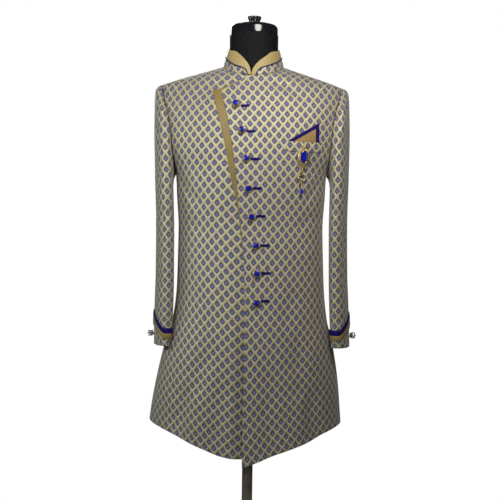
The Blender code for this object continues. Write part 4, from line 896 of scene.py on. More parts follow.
def sleeve_point(side, turn, share):
    """Turn is 0 at the outer side and a quarter at the front; share is 0 at the armhole and 1 at the cuff."""
    turn, share = arrays(turn, share)
    h = ARMHOLE_MIDDLE + ARMHOLE_HALF * np.cos(turn)
    on_back = turn % (2 * math.pi) > math.pi
    seam = np.where(on_back, armhole_share(h, True), armhole_share(h, False))
    start = surface(side * seam, h) + (side * ARMHOLE_GAP, 0, 0)
    tilt = np.maximum(0.0, 1 - share / SLEEVE_LEVEL_OUT) ** SLEEVE_LEVEL_CURVE
    z = mix(ARMHOLE_MIDDLE, CUFF, share) + (start[..., 2] - ARMHOLE_MIDDLE) * tilt
    roll = mix(*SLEEVE_HEAD_ROLL, (1 - np.cos(turn)) / 2)
    settled = 1 - np.exp(-np.maximum(0, start[..., 2] - z) / roll)
    point = mix(start, hanging_point(side, turn, z), settled[..., None])
    point[..., 2] = z
    return point


print("the left sleeve's outer point at the cuff:", sleeve_point(1, 0.0, 1.0).round(4))

# %% [markdown]
# ## Cloth for the sleeves
# A sleeve's weave is measured round its level sections,
# from a line down its front where the cloth hangs straight.
# Over the sleeve's head the cloth rolls outward, so up is measured along the cloth there.

# %% build the sleeves
SLEEVE_COLUMNS = 128
# the rows crowd together in the sleeve's head, its first few hundredths
HEAD_SHARE, HEAD_CROWDING = 0.06, 1.7
HEAD_ROWS = np.linspace(0, 1, 31) ** HEAD_CROWDING * HEAD_SHARE
SLEEVE_ROWS = np.append(HEAD_ROWS, mix(HEAD_SHARE, 1.0, np.linspace(0, 1, 130)[1:]))
SLEEVE_WEAVE_START, SLEEVE_REACH = (0.0, 0.70), 0.25
SLEEVE_FRONT_LINE, FRONT_LINE_COLUMNS = 0.0100, np.arange(10, 45)
LEVEL_STEP, LOWEST_LEVEL = 0.003, 0.001
LEFT_SLEEVE_DRIFT = (
    (0.28, -0.14, -0.36, -0.02, 0.35, -1.06, 1.14, 0.17, 0.72, -1.03),
    (-0.70, 2.15, -0.94, -0.41, 0.17, -0.66, 0.78, 0.60, -0.70, -1.05),
)
RIGHT_SLEEVE_DRIFT = (
    (-0.73, -0.04, 0.56, -0.16, 0.57, -2.14, 1.37, -0.65, 0.20, -1.57),
    (-1.25, 3.75, -3.51, 0.89, -0.06, 0.78, -0.89, 0.99, -0.83, 1.03),
)
# across from the sleeve's front line and up, for a crease's two ends, then its depth and half width
LEFT_SLEEVE_CREASES = mm(
    (36, 1264, 8, 1222, 3.5, 7.5), (40, 1196, 14, 1152, 2.4, 10), (-24, 1010, 22, 985, 1.9, 9),
    (30, 960, 50, 905, 2.2, 11), (40, 925, 34, 806, 3.8, 13), (120, 1035, 165, 1010, 3.2, 10),
    (105, 985, 160, 968, 4.1, 10), (110, 930, 150, 905, 2.7, 11), (115, 1235, 150, 1180, 3.2, 11),
)
RIGHT_SLEEVE_CREASES = mm(
    (-34, 1266, -18, 1212, 3.2, 8), (-40, 1205, -22, 1140, 2.7, 9), (-22, 1095, -34, 1030, 1.9, 11),
    (26, 1000, -20, 972, 2, 9), (-36, 890, -26, 806, 2.4, 12), (-118, 1030, -160, 1000, 3.5, 10),
    (-102, 992, -158, 962, 3.5, 11), (-108, 915, -150, 900, 2.4, 10), (-112, 1240, -152, 1172, 3.5, 12),
)


def round_sleeve(side, whole):
    """How far round each point lies from the sleeve's front line, measured along the level sections."""
    levels = np.arange(whole[0, :, 2].max() + LOWEST_LEVEL, whole[..., 2].max() + LEVEL_STEP, LEVEL_STEP)
    columns = np.moveaxis(whole, 1, 0)
    x, y = [np.array([np.interp(levels, column[:, 2], column[:, i]) for column in columns]).T for i in (0, 1)]
    middle = whole.shape[1] // 2
    arc = np.cumsum(np.hypot(*(np.diff(part, axis=1, prepend=part[:, :1]) for part in (x, y))), 1)
    arc -= arc[:, middle][:, None]
    front = middle - side * FRONT_LINE_COLUMNS
    line = side * (sleeve_middle_at(levels) - SLEEVE_FRONT_LINE) + sleeve_lean_at(levels)
    for row, level_x, at in zip(arc, x, line):
        row -= np.interp(side * at, side * level_x[front][::-1], row[front][::-1])
    return np.array([np.interp(column[:, 2], levels, values) for column, values in zip(columns, arc.T)]).T


def build_sleeve(side, word, drift, creases):
    """Rows run from the cuff up, and columns from under the arm, round so that the outside faces out."""
    turn = -side * (2 * math.pi * np.arange(SLEEVE_COLUMNS) / SLEEVE_COLUMNS + math.pi)
    outer = sleeve_point(side, turn, SLEEVE_ROWS[::-1, None])
    whole = np.concatenate([outer, outer[:, :1]], 1)
    climb = np.cumsum(np.linalg.norm(np.diff(whole, axis=0, prepend=whole[:1]), axis=-1), 0)
    rolled = climb - (whole[..., 2] - whole[:1, :, 2])
    up = whole[..., 2] + rolled * np.maximum(0.0, np.cos(np.append(turn, turn[0]))) ** 2
    across = round_sleeve(side, whole)
    weave = weave_map(across, up, 0.0, SLEEVE_WEAVE_START, drift, SLEEVE_REACH)
    outer = outer + facing(outer, True) * creased(across, up, creases)[:, :-1, None]
    made = thin_shell(f"{word}_sleeve_cloth", outer, CLOTH, weave, BROCADE, tube=True)
    rides(made, f"sleeve_{word}")


build_sleeve(1, "left", LEFT_SLEEVE_DRIFT, LEFT_SLEEVE_CREASES)
build_sleeve(-1, "right", RIGHT_SLEEVE_DRIFT, RIGHT_SLEEVE_CREASES)

# %% [markdown]
# ## Cuffs
# Each cuff carries two bands of satin, navy above gold, that rise to a point on the sleeve's outer side.
# A satin band is cut as a strip, folded under along both edges and sewn flat, so its faces bulge a little.
# It lies on the sleeve with a hair's breadth between, so no cloth cuts through another.

# %% cuff bands
TRIM, TRIM_GAP = 0.0012, 0.0005
CUFF_BAND, CUFF_BUTTON = 0.7015, 0.692
NAVY_WIDTH, GOLD_WIDTH, BAND_GAP = 0.0125, 0.0115, 0.0009
CUFF_GAP, CUFF_UNDERSIDE = 0.0013, 0.0011
CUFF_PEAK, CUFF_PEAK_CURVE, CUFF_REACH = 0.043, 1.15, math.radians(80)


def sleeve_at_height(side, turn, z):
    """The sleeve's point at a turn and a height, found by halving the share."""
    turn, z = arrays(turn, z)
    share = halved(0.70, 1.0, lambda share: sleeve_point(side, turn, share)[..., 2] <= z, z.shape, 22)
    return sleeve_point(side, turn, share)


def sleeve_skin(side, turn, z, lift):
    """A point lifted off the hanging sleeve, and the way out from it."""
    out = -side * way_out(partial(sleeve_at_height, side), turn, z, 0.1, 0.008)
    return sleeve_at_height(side, turn, z) + out * np.asarray(lift, float)[..., None], out


def cuff_rise(turn):
    away = np.abs((turn + math.pi) % (2 * math.pi) - math.pi)
    return CUFF_PEAK * np.maximum(0.0, 1 - away / CUFF_REACH) ** CUFF_PEAK_CURVE


def swell(rows, amount):
    """How far a flat band's rows bulge, from its lower edge to its upper one."""
    return amount * (1 - np.abs(np.linspace(-1, 1, rows)) ** 3)[:, None]


def cuff_band(side, word, name, low, width, material, turns=144, rows=9):
    turn = -side * 2 * math.pi * np.arange(turns) / turns
    z = mix(low, low + width, np.linspace(0, 1, rows))[:, None] + cuff_rise(turn)
    outer, _ = sleeve_skin(side, turn, z, CUFF_GAP + TRIM * 0.7 + swell(rows, TRIM * 0.5))
    inner, _ = sleeve_skin(side, turn, z, CUFF_UNDERSIDE)
    weave = np.stack(arrays(np.linspace(0, 1, turns + 1), np.linspace(0, 0.05, rows)[:, None]), -1)
    made = thin_shell(f"{word}_{name}", outer, TRIM, weave, material, tube=True, inner=inner)
    rides(made, f"{name}_{word}")


navy_low = CUFF_BAND - NAVY_WIDTH / 2
for side, word in SIDES:
    cuff_band(side, word, "cuff_navy", navy_low, NAVY_WIDTH, NAVY_SATIN)
    cuff_band(side, word, "cuff_gold", navy_low - BAND_GAP - GOLD_WIDTH, GOLD_WIDTH, GOLD_SATIN)

# %% [markdown]
# ## Collar
# The stand collar is a short cone. Brocade covers its lower half and a gold satin band its upper half.
# The front ends curve away from the throat in a narrow V, drawn from two short tables for each side.
# A navy piping covers the seam between the two.

# %% collar
COLLAR_WALL, COLLAR_GAP, COLLAR_SWELL = 0.0016, 0.0010, 0.0004
COLLAR_TOP_RING = oval(0.0636, 0.0632, 0.0636, 2.0)
collar_top_at = smooth_curve(((0.0, 1.396), (1.0, 1.400), (2.0, 1.404)))
# distance from the middle and height of each front edge, and of the seam under it,
# from the neck point upwards
EDGE_RIGHT = mm((-5.3, 1325.5), (-6.4, 1336), (-10, 1349), (-18, 1361.5), (-30, 1375), (-45, 1388))
EDGE_LEFT = mm((-4.5, 1325.5), (0, 1342), (5.8, 1351), (16, 1362), (31, 1374), (47, 1387))
SEAM_RIGHT = mm((-13.2, 1326), (-15.8, 1335), (-20, 1341.5), (-31, 1347), (-43, 1352), (-55, 1360.5))
SEAM_LEFT = mm((6.2, 1326), (12.1, 1337), (19.3, 1344), (34, 1350), (48, 1356.5), (60, 1364))
SIDE_START, LEVEL_OUT, SEAM_SHARE = 0.70, 0.36, 0.52
COLLAR_WEAVE_START = (0.004, 0.006)
PIPING_RADIUS, PIPING_LIFT = 0.0012, 0.0011


def collar_point(q, w):
    """The collar's outer face: w is 0 at the neckline and 1 at the full cone's top."""
    q, w = arrays(q, w)
    base = on_ring(NECK_RING, neckline_at, q) + (0, 0, COLLAR_GAP)
    return mix(base, on_ring(COLLAR_TOP_RING, collar_top_at, q), w[..., None])


def collar_out(q, w):
    return way_out(collar_point, q, w, 0.01, 0.01)


def collar_places(points):
    """q and w of the collar's points that stand at the places x and z."""
    x, z = np.transpose(points)
    q, w = stood_at(collar_point, x, z, q_on_neckline(x), 0.5)
    return q, np.maximum(0.0, w)


def collar_edges(count=260):
    """(q, w) along the band's lower and upper edges, from the left front end round to the right one."""
    left = np.transpose([*collar_places(SEAM_LEFT), *collar_places(EDGE_LEFT)])
    right = np.transpose([*collar_places(SEAM_RIGHT), *collar_places(EDGE_RIGHT)])
    rows = list(left)
    for q in np.linspace(SIDE_START, 4 - SIDE_START, 21):
        near = left[-1] if q < 2 else right[-1]
        level = min(1.0, (min(q, 4 - q) - SIDE_START + 0.1) / LEVEL_OUT)
        rows.append((q, mix(near[1], SEAM_SHARE, level), q, mix(near[3], 1.0, level)))
    rows += list(right[::-1] + (4, 0, 4, 0))
    table = np.column_stack([np.arange(len(rows)), rows])
    places = np.linspace(0, len(rows) - 1, count)
    return np.array([smooth_curve(table, column)(places) for column in (1, 2, 3, 4)])


def collar_wall(name, node, low, high, rows, material):
    t = np.linspace(0, 1, rows)[:, None]
    q, w = mix(low[0], high[0], t), mix(low[1], high[1], t)
    points, out = collar_point(q, w), collar_out(q, w)
    weave = weave_map(np.interp(q, ROUND, ROUND_LENGTH), points[..., 2], 0.0, COLLAR_WEAVE_START)
    outer, inner = points + out * swell(rows, COLLAR_SWELL)[..., None], points - out * COLLAR_WALL
    rides(thin_shell(name, outer, COLLAR_WALL, weave, material, inner=inner), node)


def tube_shell(name, line, radius, sides, material, taper=1.0):
    """A closed round tube along a line of points, its two ends narrowed."""
    ahead = unit(np.gradient(line, axis=0))
    side = unit(np.cross(ahead, (0, 0, 1)) + 1e-9)
    turn = (2 * math.pi * np.arange(sides) / sides)[:, None]
    widths = np.full((len(line), 1, 1), radius)
    widths[[0, -1]] *= taper
    ring = side[:, None] * np.cos(turn) + np.cross(ahead, side)[:, None] * np.sin(turn)
    index = np.arange(len(line) * sides).reshape(-1, sides)
    after = np.roll(index, -1, 1)
    faces = np.stack([index[:-1], after[:-1], after[1:], index[1:]], -1).reshape(-1, 4).tolist()
    faces += [index[0, ::-1].tolist(), index[-1].tolist()]
    return mesh_piece(name, (line[:, None] + widths * ring).reshape(-1, 3), faces, material)


print("collar top at centre back:", collar_point(2.0, 1.0).round(4))

# %% [markdown]
# ## The collar's walls and its piping
# The brocade stand runs up a little behind the satin band's lower edge, and the piping covers that edge.
# The weave of both is measured round the collar, from centre front.

# %% build the collar
ROUND = np.linspace(-0.2, 4.2, 441)
steps = np.linalg.norm(np.diff(collar_point(ROUND, 0.3), axis=0), axis=1)
ROUND_LENGTH = np.append(0.0, np.cumsum(steps)) - steps[:20].sum()
edges = collar_edges()
collar_wall("collar_band_satin", "collar_band", edges[:2], edges[2:], 15, COLLAR_SATIN)

# the stand's foot starts a little inside the band's ends and meets the seam's columns further round
FOOT_INSET, FOOT_COLUMNS, STAND_TUCK = 0.0104, 40, 0.005
seam_q, seam_w = edges[0, 6:-6], edges[1, 6:-6] - STAND_TUCK
last = seam_q.size - 1
left_end, right_end = edges[0, 0] + FOOT_INSET, edges[0, -1] - FOOT_INSET
stops = [0, FOOT_COLUMNS, last - FOOT_COLUMNS, last]
foot_q = np.interp(np.arange(last + 1), stops, [left_end, seam_q[stops[1]], seam_q[stops[2]], right_end])
foot = np.where((seam_q > 0.5) & (seam_q < 3.5), seam_q, foot_q), 0 * seam_w
collar_wall("collar_stand_cloth", "collar_stand", foot, (seam_q, seam_w), 13, BROCADE)

line = collar_point(edges[0], np.maximum(edges[1], 0.02)) + collar_out(*edges[:2]) * (PIPING_LIFT + TRIM_GAP)
piping = rides(tube_shell("piping", line, PIPING_RADIUS, 10, NAVY_SATIN, 0.7), "collar_piping")

# %% [markdown]
# ## The gold strip beside the closing
# The left front's satin facing shows outside its edge as a strip that narrows downwards and turns along
# the lapel.
# It lies on the right front, which sinks under the left one there, so the strip follows that step.

# %% gold strip
# height of the closing edge, width of the strip beside it
STRIP = mm(
    (880, 1.6), (945, 2.8), (983, 3.3), (1015, 5.2), (1043, 9.5), (1070, 13), (1100, 15.8), (1139, 18),
    (1182, 19.3), (1217, 21), (1250, 21.2), (1285, 20.8),
)
# share up the lapel's slanted edge, width of the strip there
STRIP_TURN = mm((0, 20.5), (0.25, 6.6), (0.5, 5.2), (0.75, 3.6), (0.96, 2.4), plain=(0,))
STRIP_EDGE_GAP, STRIP_FOOT, STRIP_TOP = 0.0006, 0.882, LAPEL_CORNER - 0.0015
STRIP_COLUMNS = 10
share = np.linspace(0, 1, STRIP_COLUMNS)
height = np.linspace(STRIP_FOOT, STRIP_TOP, 110)[:, None] + 0 * share
beside = mix(smooth_curve(STRIP)(height), STRIP_EDGE_GAP, share)
t = np.linspace(0, STRIP_TURN[-1][0], 34)[:, None]
above = mix(smooth_curve(STRIP_TURN)(t), STRIP_EDGE_GAP, share)
over_q, over_h = lap_line(t, above)
q = np.vstack([q_of_front(closing_edge_at(height) - beside, height), over_q])
h, away = np.vstack([height, over_h]), np.vstack([beside, above])
drop = (CLOTH + LAP_GAP) * np.clip((LAP_START - away) / (LAP_START - LAP_FULL), 0, 1)
outer = lifted(q, h, TRIM_GAP + TRIM * 0.8 + swell(STRIP_COLUMNS, TRIM * 0.35).T - drop)
inner = lifted(q, h, TRIM_GAP - drop)
strip = thin_shell("strip_satin", outer, TRIM, np.stack([away * 10, h], -1), GOLD_SATIN, inner=inner)
rides(strip, "gold_strip")

# %% [markdown]
# ## Trims laid on the left front
# The pocket's welt, the folded square that stands out of it and the button loops all lie on the left front.
# Each is a small grid laid at a height above the cloth, so it follows the chest's curve.
# The square is a folded handkerchief with a navy border, so only its corner shows above the welt.

# %% small trims
# distance from the middle and height of each button's seat, and how far its loop's middle sits under it
BUTTONS = mm(
    (-39.3, 1250, 4), (-24.6, 1186, 3), (-13.1, 1118.5, 2), (-7, 1046, -1), (1.8, 979, -2), (12.4, 911, 0),
    (15.8, 843, -2), (15.2, 774, -5),
)
BASKET_RADIUS, BASKET_CLEARANCE = 0.0108, 0.0010
LOOP_LENGTH, LOOP_WIDTH, LOOP_WALL = 0.0200, 0.0052, 0.0016
LOOP_GROOVE, LOOP_GROOVE_WIDTH = 0.0004, 0.0006
LOOP_SWELL, LOOP_SINK = 0.0007, 0.0006
WELT = (0.0815, 0.1680, 1.1375, 1.1605)
WELT_SHIFT = (0.003, 0.004)
SQUARE_TIP, SQUARE_APEX, SQUARE_FOOT = (0.0845, 1.1612), (0.1612, 1.2085), (0.1616, 1.1612)
SQUARE_BORDER = 0.0080
HEART_START, HEART_INSET = 0.06, (0.0004, 0.0006)


def laid(name, node, x, z, rise, thickness, material, weave=None):
    """Cloth laid on the left front through a grid of x and z, at a rise above it."""
    place = front_place(x, z)
    outer, inner = lifted(*place, TRIM_GAP + thickness + rise), lifted(*place, TRIM_GAP)
    if weave is None:
        weave = np.stack([x * 8, z * 8], -1)
    rides(thin_shell(name, outer, thickness, weave, material, inner=inner), node)


def grid_between(low, high, columns, rows):
    """x and z of a grid whose lower and upper edges run through lists of points."""
    share, rise = np.linspace(0, 1, columns), np.linspace(0, 1, rows)[:, None]
    (low_x, low_z), (high_x, high_z) = [
        [np.interp(share, np.linspace(0, 1, len(line)), part) for part in zip(*line)] for line in (low, high)]
    return mix(low_x, high_x, rise), mix(low_z, high_z, rise)


x, z = np.meshgrid(np.linspace(*WELT[:2], 60), np.linspace(*WELT[2:], 18))
slope, start = LEFT_WEAVE
weave = weave_map(*fall(surface(*front_place(x, z)), z), slope, np.add(start, WELT_SHIFT), LEFT_DRIFT)
laid("welt_cloth", "pocket_welt", x, z, swell(18, 0.0003), TRIM, BROCADE, weave)

slope = math.atan2(SQUARE_APEX[1] - SQUARE_TIP[1], SQUARE_APEX[0] - SQUARE_TIP[0])
inner_foot = (SQUARE_FOOT[0] - SQUARE_BORDER, SQUARE_FOOT[1])
inner_tip = (SQUARE_TIP[0] + SQUARE_BORDER / math.sin(slope), SQUARE_TIP[1])
inner_apex = (inner_foot[0], inner_tip[1] + (inner_foot[0] - inner_tip[0]) * math.tan(slope))
x, z = grid_between([inner_tip, inner_apex, inner_foot], [SQUARE_TIP, SQUARE_APEX, SQUARE_FOOT], 61, 7)
laid("square_hem", "square_border", x, z, swell(7, 0.0004), TRIM * 0.7, NAVY_SATIN)
ends = [mix(np.array(inner_tip), np.array(inner_apex), t) - HEART_INSET for t in (HEART_START, 1.0)]
x, z = grid_between([(end[0], inner_tip[1]) for end in ends], ends, 40, 20)
laid("square_satin", "square_heart", x, z, 0.0, TRIM * 0.6, SQUARE_SATIN)

for number, (x0, z0, drop) in enumerate(BUTTONS, 1):
    start = x0 + BASKET_RADIUS + BASKET_CLEARANCE
    above = np.linspace(-0.5, 0.5, 9) * LOOP_WIDTH
    x, z = np.meshgrid(np.linspace(start, start + LOOP_LENGTH, 21), above + z0 - drop)
    groove = LOOP_GROOVE * np.exp(-(above / LOOP_GROOVE_WIDTH) ** 2)[:, None]
    bulge = swell(9, LOOP_SWELL) - LOOP_SINK - groove
    laid(f"loop_{number}", f"button_loop_{number}", x, z, bulge, LOOP_WALL, NAVY_SATIN)

# %% [markdown]
# ## Tools for the hard pieces
# Gilt and stone are modelled upright at the origin, then set in place on the cloth with one matrix.
# A turned piece grows from a disc by pushing it up and widening or narrowing it, ring by ring, as on a lathe.
# A repeated piece is modelled once, and every copy gets a mesh of its own.


# %% tools
def shift(x, y, z):
    return Matrix.Translation((x, y, z))


def tilted(degrees, axis="Y"):
    return Matrix.Rotation(math.radians(degrees), 4, axis)


def settle(name, material, place=None):
    """Names the piece just made and puts its place into its mesh."""
    made = bpy.context.object
    made.name = made.data.name = name
    made.data.transform((place or Matrix()) @ made.matrix_basis)
    made.matrix_basis = Matrix()
    made.data.materials.clear()
    made.data.materials.append(material)
    return made


def turned(name, profile, sides, material=OLD_GOLD, smooth=40):
    """A solid of (radius, height) rings listed upwards."""
    radius, foot = profile[0]
    bpy.ops.object.select_all(action="DESELECT")
    bpy.ops.mesh.primitive_circle_add(vertices=sides, radius=radius, fill_type="NGON", location=(0, 0, foot))
    bpy.ops.object.mode_set(mode="EDIT")
    bpy.ops.mesh.select_all(action="SELECT")
    for (before, low), (after, high) in zip(profile, profile[1:]):
        bpy.ops.mesh.extrude_region_move(TRANSFORM_OT_translate={"value": (0, 0, high - low)})
        bpy.ops.transform.resize(value=(after / before, after / before, 1), center_override=(0, 0, high))
    bpy.ops.mesh.select_all(action="SELECT")
    bpy.ops.mesh.normals_make_consistent(inside=False)
    bpy.ops.object.mode_set(mode="OBJECT")
    bpy.ops.object.shade_smooth_by_angle(angle=math.radians(smooth))
    return settle(name, material)


def ball(name, radius, scale=(1, 1, 1), place=None, segments=16, material=OLD_GOLD):
    bpy.ops.object.select_all(action="DESELECT")
    bpy.ops.mesh.primitive_uv_sphere_add(segments=segments, ring_count=segments // 2, radius=radius)
    bpy.context.object.scale = scale
    bpy.ops.object.shade_smooth()
    return settle(name, material, place)


def hoop(name, radius, wire, scale=(1, 1, 1), place=None, sides=40, wire_sides=10, material=OLD_GOLD):
    bpy.ops.object.select_all(action="DESELECT")
    bpy.ops.mesh.primitive_torus_add(
        major_radius=radius, minor_radius=wire, major_segments=sides, minor_segments=wire_sides)
    bpy.context.object.scale = scale
    bpy.ops.object.shade_smooth()
    return settle(name, material, place)


print("turning tools are ready")

# %% [markdown]
# ## Copies, stones and places
# Leaves, claws and beads sit evenly round a ring, so one is modelled and its copies are set round it.
# A stone starts as a short cylinder, and planes grind three rings of facets off its top.

# %% copies, stones and places
# a stone's rings of facets: how many, tilt in degrees, reach and height as shares of the stone's,
# and how far the first one is moved on, as a share of one step
FACETS = ((16, 34, 0.97, 0.40, 0.5), (8, 52, 0.86, 0.72, 0.0), (8, 72, 0.62, 0.93, 0.5))


def copy_of(master, name, place):
    made = new_piece(name, master.data.copy())
    made.data.transform(place)
    return made


def spin(turn, reach, height=0.0, stretch=1.0):
    """A place at a turn and reach round the Z axis, facing outward; stretch draws the circle out along Y."""
    place = shift(reach * math.cos(turn), reach * stretch * math.sin(turn), height)
    return place @ Matrix.Rotation(turn, 4, "Z")


def ringed(master, count, reach, height, start=0.0, stretch=1.0, centre=Matrix()):
    """Copies set evenly round a ring; start moves them on by a share of one step."""
    turns = [2 * math.pi * (i + start) / count for i in range(count)]
    return [copy_of(master, "ringed", centre @ spin(turn, reach, height, stretch)) for turn in turns]


def joined(name, parts):
    bpy.ops.object.select_all(action="DESELECT")
    for part in parts:
        part.select_set(True)
    bpy.context.view_layer.objects.active = parts[0]
    bpy.ops.object.join()
    parts[0].name = parts[0].data.name = name
    return parts[0]


def cut_stone(name, radius, height, material, stretch=1.0):
    """A stone cut as a jeweller cuts one: a short cylinder with rings of facets ground off its top."""
    bpy.ops.object.select_all(action="DESELECT")
    bpy.ops.mesh.primitive_cylinder_add(vertices=32, radius=radius, depth=height, location=(0, 0, height / 2))
    bpy.ops.object.transform_apply(location=True)
    bpy.ops.object.mode_set(mode="EDIT")
    for count, tilt, reach, rise, start in FACETS:
        lean = math.radians(tilt)
        for i in range(count):
            turn = 2 * math.pi * (i + start) / count
            across, along = math.cos(turn), math.sin(turn)
            at = (radius * reach * across, radius * reach * along, height * rise)
            out = (across * math.cos(lean), along * math.cos(lean), math.sin(lean))
            bpy.ops.mesh.select_all(action="SELECT")
            bpy.ops.mesh.bisect(plane_co=at, plane_no=out, use_fill=True, clear_outer=True)
    bpy.ops.object.mode_set(mode="OBJECT")
    bpy.ops.object.shade_flat()
    bpy.context.object.scale = (1, stretch, 1)
    return settle(name, material)


def axes_place(origin, out):
    """A matrix whose Z points along out and whose Y points as nearly up as it can."""
    z = Vector(out).normalized()
    x = Vector((0, 0, 1)).cross(z).normalized()
    place = Matrix((x, z.cross(x), z)).transposed().to_4x4()
    place.translation = Vector(origin)
    return place


def on_front(x, z, lift):
    q, h = front_place(x, z)
    return axes_place(lifted(q, h, lift), outward(q, h))


def discard(*masters):
    for master in masters:
        bpy.data.objects.remove(master, do_unlink=True)


print("tools are ready")

# %% [markdown]
# ## Front buttons
# Each button is a stone held in a gilt basket: a wire foot, a ring of leaves,
# a collar and claws over the stone's edge.
# The basket stands high on a shank, so from the front the stone seems to sit above its foot.
# One basket and one stone are modelled, and eight of each are set down the closing.

# %% buttons
SEAT_GAP, BASKET_HEIGHT = 0.0007, 0.0066
parts = [turned("cup", mm((6, 0), (6.6, 1), (6.2, 3), (7.2, 5.2), (7.4, 6.6)), 32)]
parts.append(hoop("foot", 0.0096, 0.0010, place=shift(0, 0, 0.0010)))
parts.append(hoop("collet", 0.0075, 0.0007, place=shift(0, 0, 0.0068)))
leaf = ball("leaf", 0.0025, (0.62, 0.92, 0.42), tilted(-38))
bead = ball("bead", 0.0008, segments=10)
claw = ball("claw", 0.0009, (0.9, 1.0, 1.9), segments=10)
parts += ringed(leaf, 12, 0.0086, 0.0034) + ringed(bead, 12, 0.0098, 0.0021, 0.5)
parts += ringed(claw, 8, 0.0073, 0.0082, 0.5)
basket = joined("basket", parts)
stone = cut_stone("stone", 0.0073, 0.0046, BLUE_STONE)
for number, (x0, z0, _) in enumerate(BUTTONS, 1):
    place = on_front(x0, z0, SEAT_GAP)
    rides(copy_of(basket, f"basket_{number}", place), f"button_mount_{number}")
    place = place @ shift(0, 0, BASKET_HEIGHT) @ Matrix.Rotation(0.7 * number, 4, "Z")
    rides(copy_of(stone, f"stone_{number}", place), f"button_stone_{number}")
discard(leaf, claw, bead, basket, stone)

# %% [markdown]
# ## Cuff buttons
# A ball button stands on each cuff's outer side: a small gilt ball of lobes on a short stem.
# The lobes are long petals round a core, closed by a bead at the end.

# %% cuff buttons
CUFF_BALL_SIZE = 1.12
lobe = ball("lobe", 0.0060, (0.34, 0.46, 0.98), tilted(8), material=PALE_GILT)
parts = [turned("stem", mm((3.4, 0), (3, 2), (4.4, 3.4), (5, 7), (3, 11.6)), 20, PALE_GILT)]
parts += ringed(lobe, 8, 0.0048, 0.0070)
parts.append(ball("tip", 0.0023, place=shift(0, 0, 0.0124), material=PALE_GILT))
parts.append(hoop("waist", 0.0042, 0.0007, place=shift(0, 0, 0.0022), sides=24, material=PALE_GILT))
cuff_ball = joined("cuff_ball", parts)
cuff_ball.data.transform(Matrix.Scale(CUFF_BALL_SIZE, 4))
for side, word in SIDES:
    place = axes_place(*sleeve_skin(side, 0.0, CUFF_BUTTON, TRIM_GAP))
    rides(copy_of(cuff_ball, f"{word}_cuff_ball", place), f"cuff_button_{word}")
discard(lobe, cuff_ball)

# %% [markdown]
# ## Brooch
# The brooch is pinned over the lower edge of the pocket's welt.
# It is an oval stone in a beaded rim, with a wreath of gilt leaves round it and a flower on top.
# Under it a stem ends in a small ring, from which a beaded hoop swings, and from that a capped blue drop.
# Those two hang on rings of their own, so each rides on its own moving body.

# %% brooch
BROOCH, BROOCH_LIFT = (0.1230, 1.1240), 0.0019
BROOCH_LINK, LINK_LIFT = (0.1184, 1.0900), 0.0046
LINK_RADIUS, LINK_WIRE, LINK_REST_GAP = 0.0024, 0.0007, 0.0003
FLOWER_UP = 0.0246
place = on_front(*BROOCH, BROOCH_LIFT)


def link(name, place):
    """One of the small rings that the brooch's parts hang on."""
    return hoop(name, LINK_RADIUS, LINK_WIRE, place=place, sides=28, wire_sides=8)


petal = ball("petal", 0.0034, (1.10, 0.78, 0.55), tilted(18))
seed = ball("seed", 0.0010, (1, 1, 0.9), segments=10)
parts = [turned("plate", mm((13.8, 0.2), (14.2, 1.2), (13, 2.4), (10.4, 2.6)), 48)]
parts[0].data.transform(Matrix.Diagonal((1, 1.38, 1, 1)))
parts += ringed(petal, 14, 0.0142, 0.0024, 0.0, 1.36) + ringed(seed, 14, 0.0160, 0.0026, 0.5, 1.34)
parts += ringed(seed, 30, 0.0108, 0.0040, 0.0, 1.46)
parts.append(hoop("rim", 0.0096, 0.0009, (1, 1.54, 1.4), shift(0, 0, 0.0044), 48))
parts += ringed(petal, 6, 0.0044, 0.0010, 0.5, centre=shift(0, FLOWER_UP, 0.0016))
parts.append(ball("flower_heart", 0.0023, (1, 1, 0.8), shift(0, FLOWER_UP, 0.0050)))
for side in (-1, 1):
    scroll = shift(side * 0.0034, -0.0222, 0.0020) @ Matrix.Rotation(side * 0.5, 4, "Z")
    parts.append(hoop("scroll", 0.0030, 0.0010, (1, 1.25, 1), scroll, 24, 8))
parts.append(ball("scroll_bead", 0.0021, (1, 1, 0.9), shift(0, -0.0266, 0.0024)))
for part in parts:
    part.data.transform(place)

seat = front_place(*BROOCH_LINK)
out = unit(outward(*seat) * (1, 1, 0))
link_centre = surface(*seat) + out * LINK_LIFT
link_place = axes_place(link_centre, out)
stem_top = np.array(place @ Vector((0, -0.0240, 0.0016)))
stem = mix(stem_top, link_centre + (0, 0, LINK_RADIUS), np.linspace(0, 1, 6)[:, None])
parts.append(tube_shell("stem_wire", stem, 0.0012, 12, OLD_GOLD))
parts.append(ball("stem_bead", 0.0020, place=shift(*stem[3])))
parts.append(link("link", link_place))
rides(joined("brooch_gilt", parts), "brooch_frame")
oval_stone = cut_stone("oval_stone", 0.0086, 0.0052, BLUE_STONE, 1.60)
oval_stone.data.transform(place @ shift(0, 0, 0.0034))
rides(oval_stone, "brooch_stone")

# %% [markdown]
# ## Pendant and drop
# The rings hang through one another with a hair's gap, each turned a quarter from the one above,
# as a chain's links are.
# Two of the hoop's beads are larger than the rest. The drop is faceted lengthwise and closed by a turned cap.

# %% pendant and drop
PENDANT_RADIUS, PENDANT_DROP, PENDANT_CORE = 0.0082, 0.0122, 0.0017
LARGE_BEADS = (1, 3)
CAP_DROP, STONE_DROP = 0.0104, 0.0133
sideways = tilted(90)
hang = 2 * (LINK_RADIUS - LINK_WIRE) - LINK_REST_GAP
body = -hang - PENDANT_DROP
second = body - PENDANT_DROP - 0.0001


def hung(down):
    return link_place @ shift(0, down, 0)


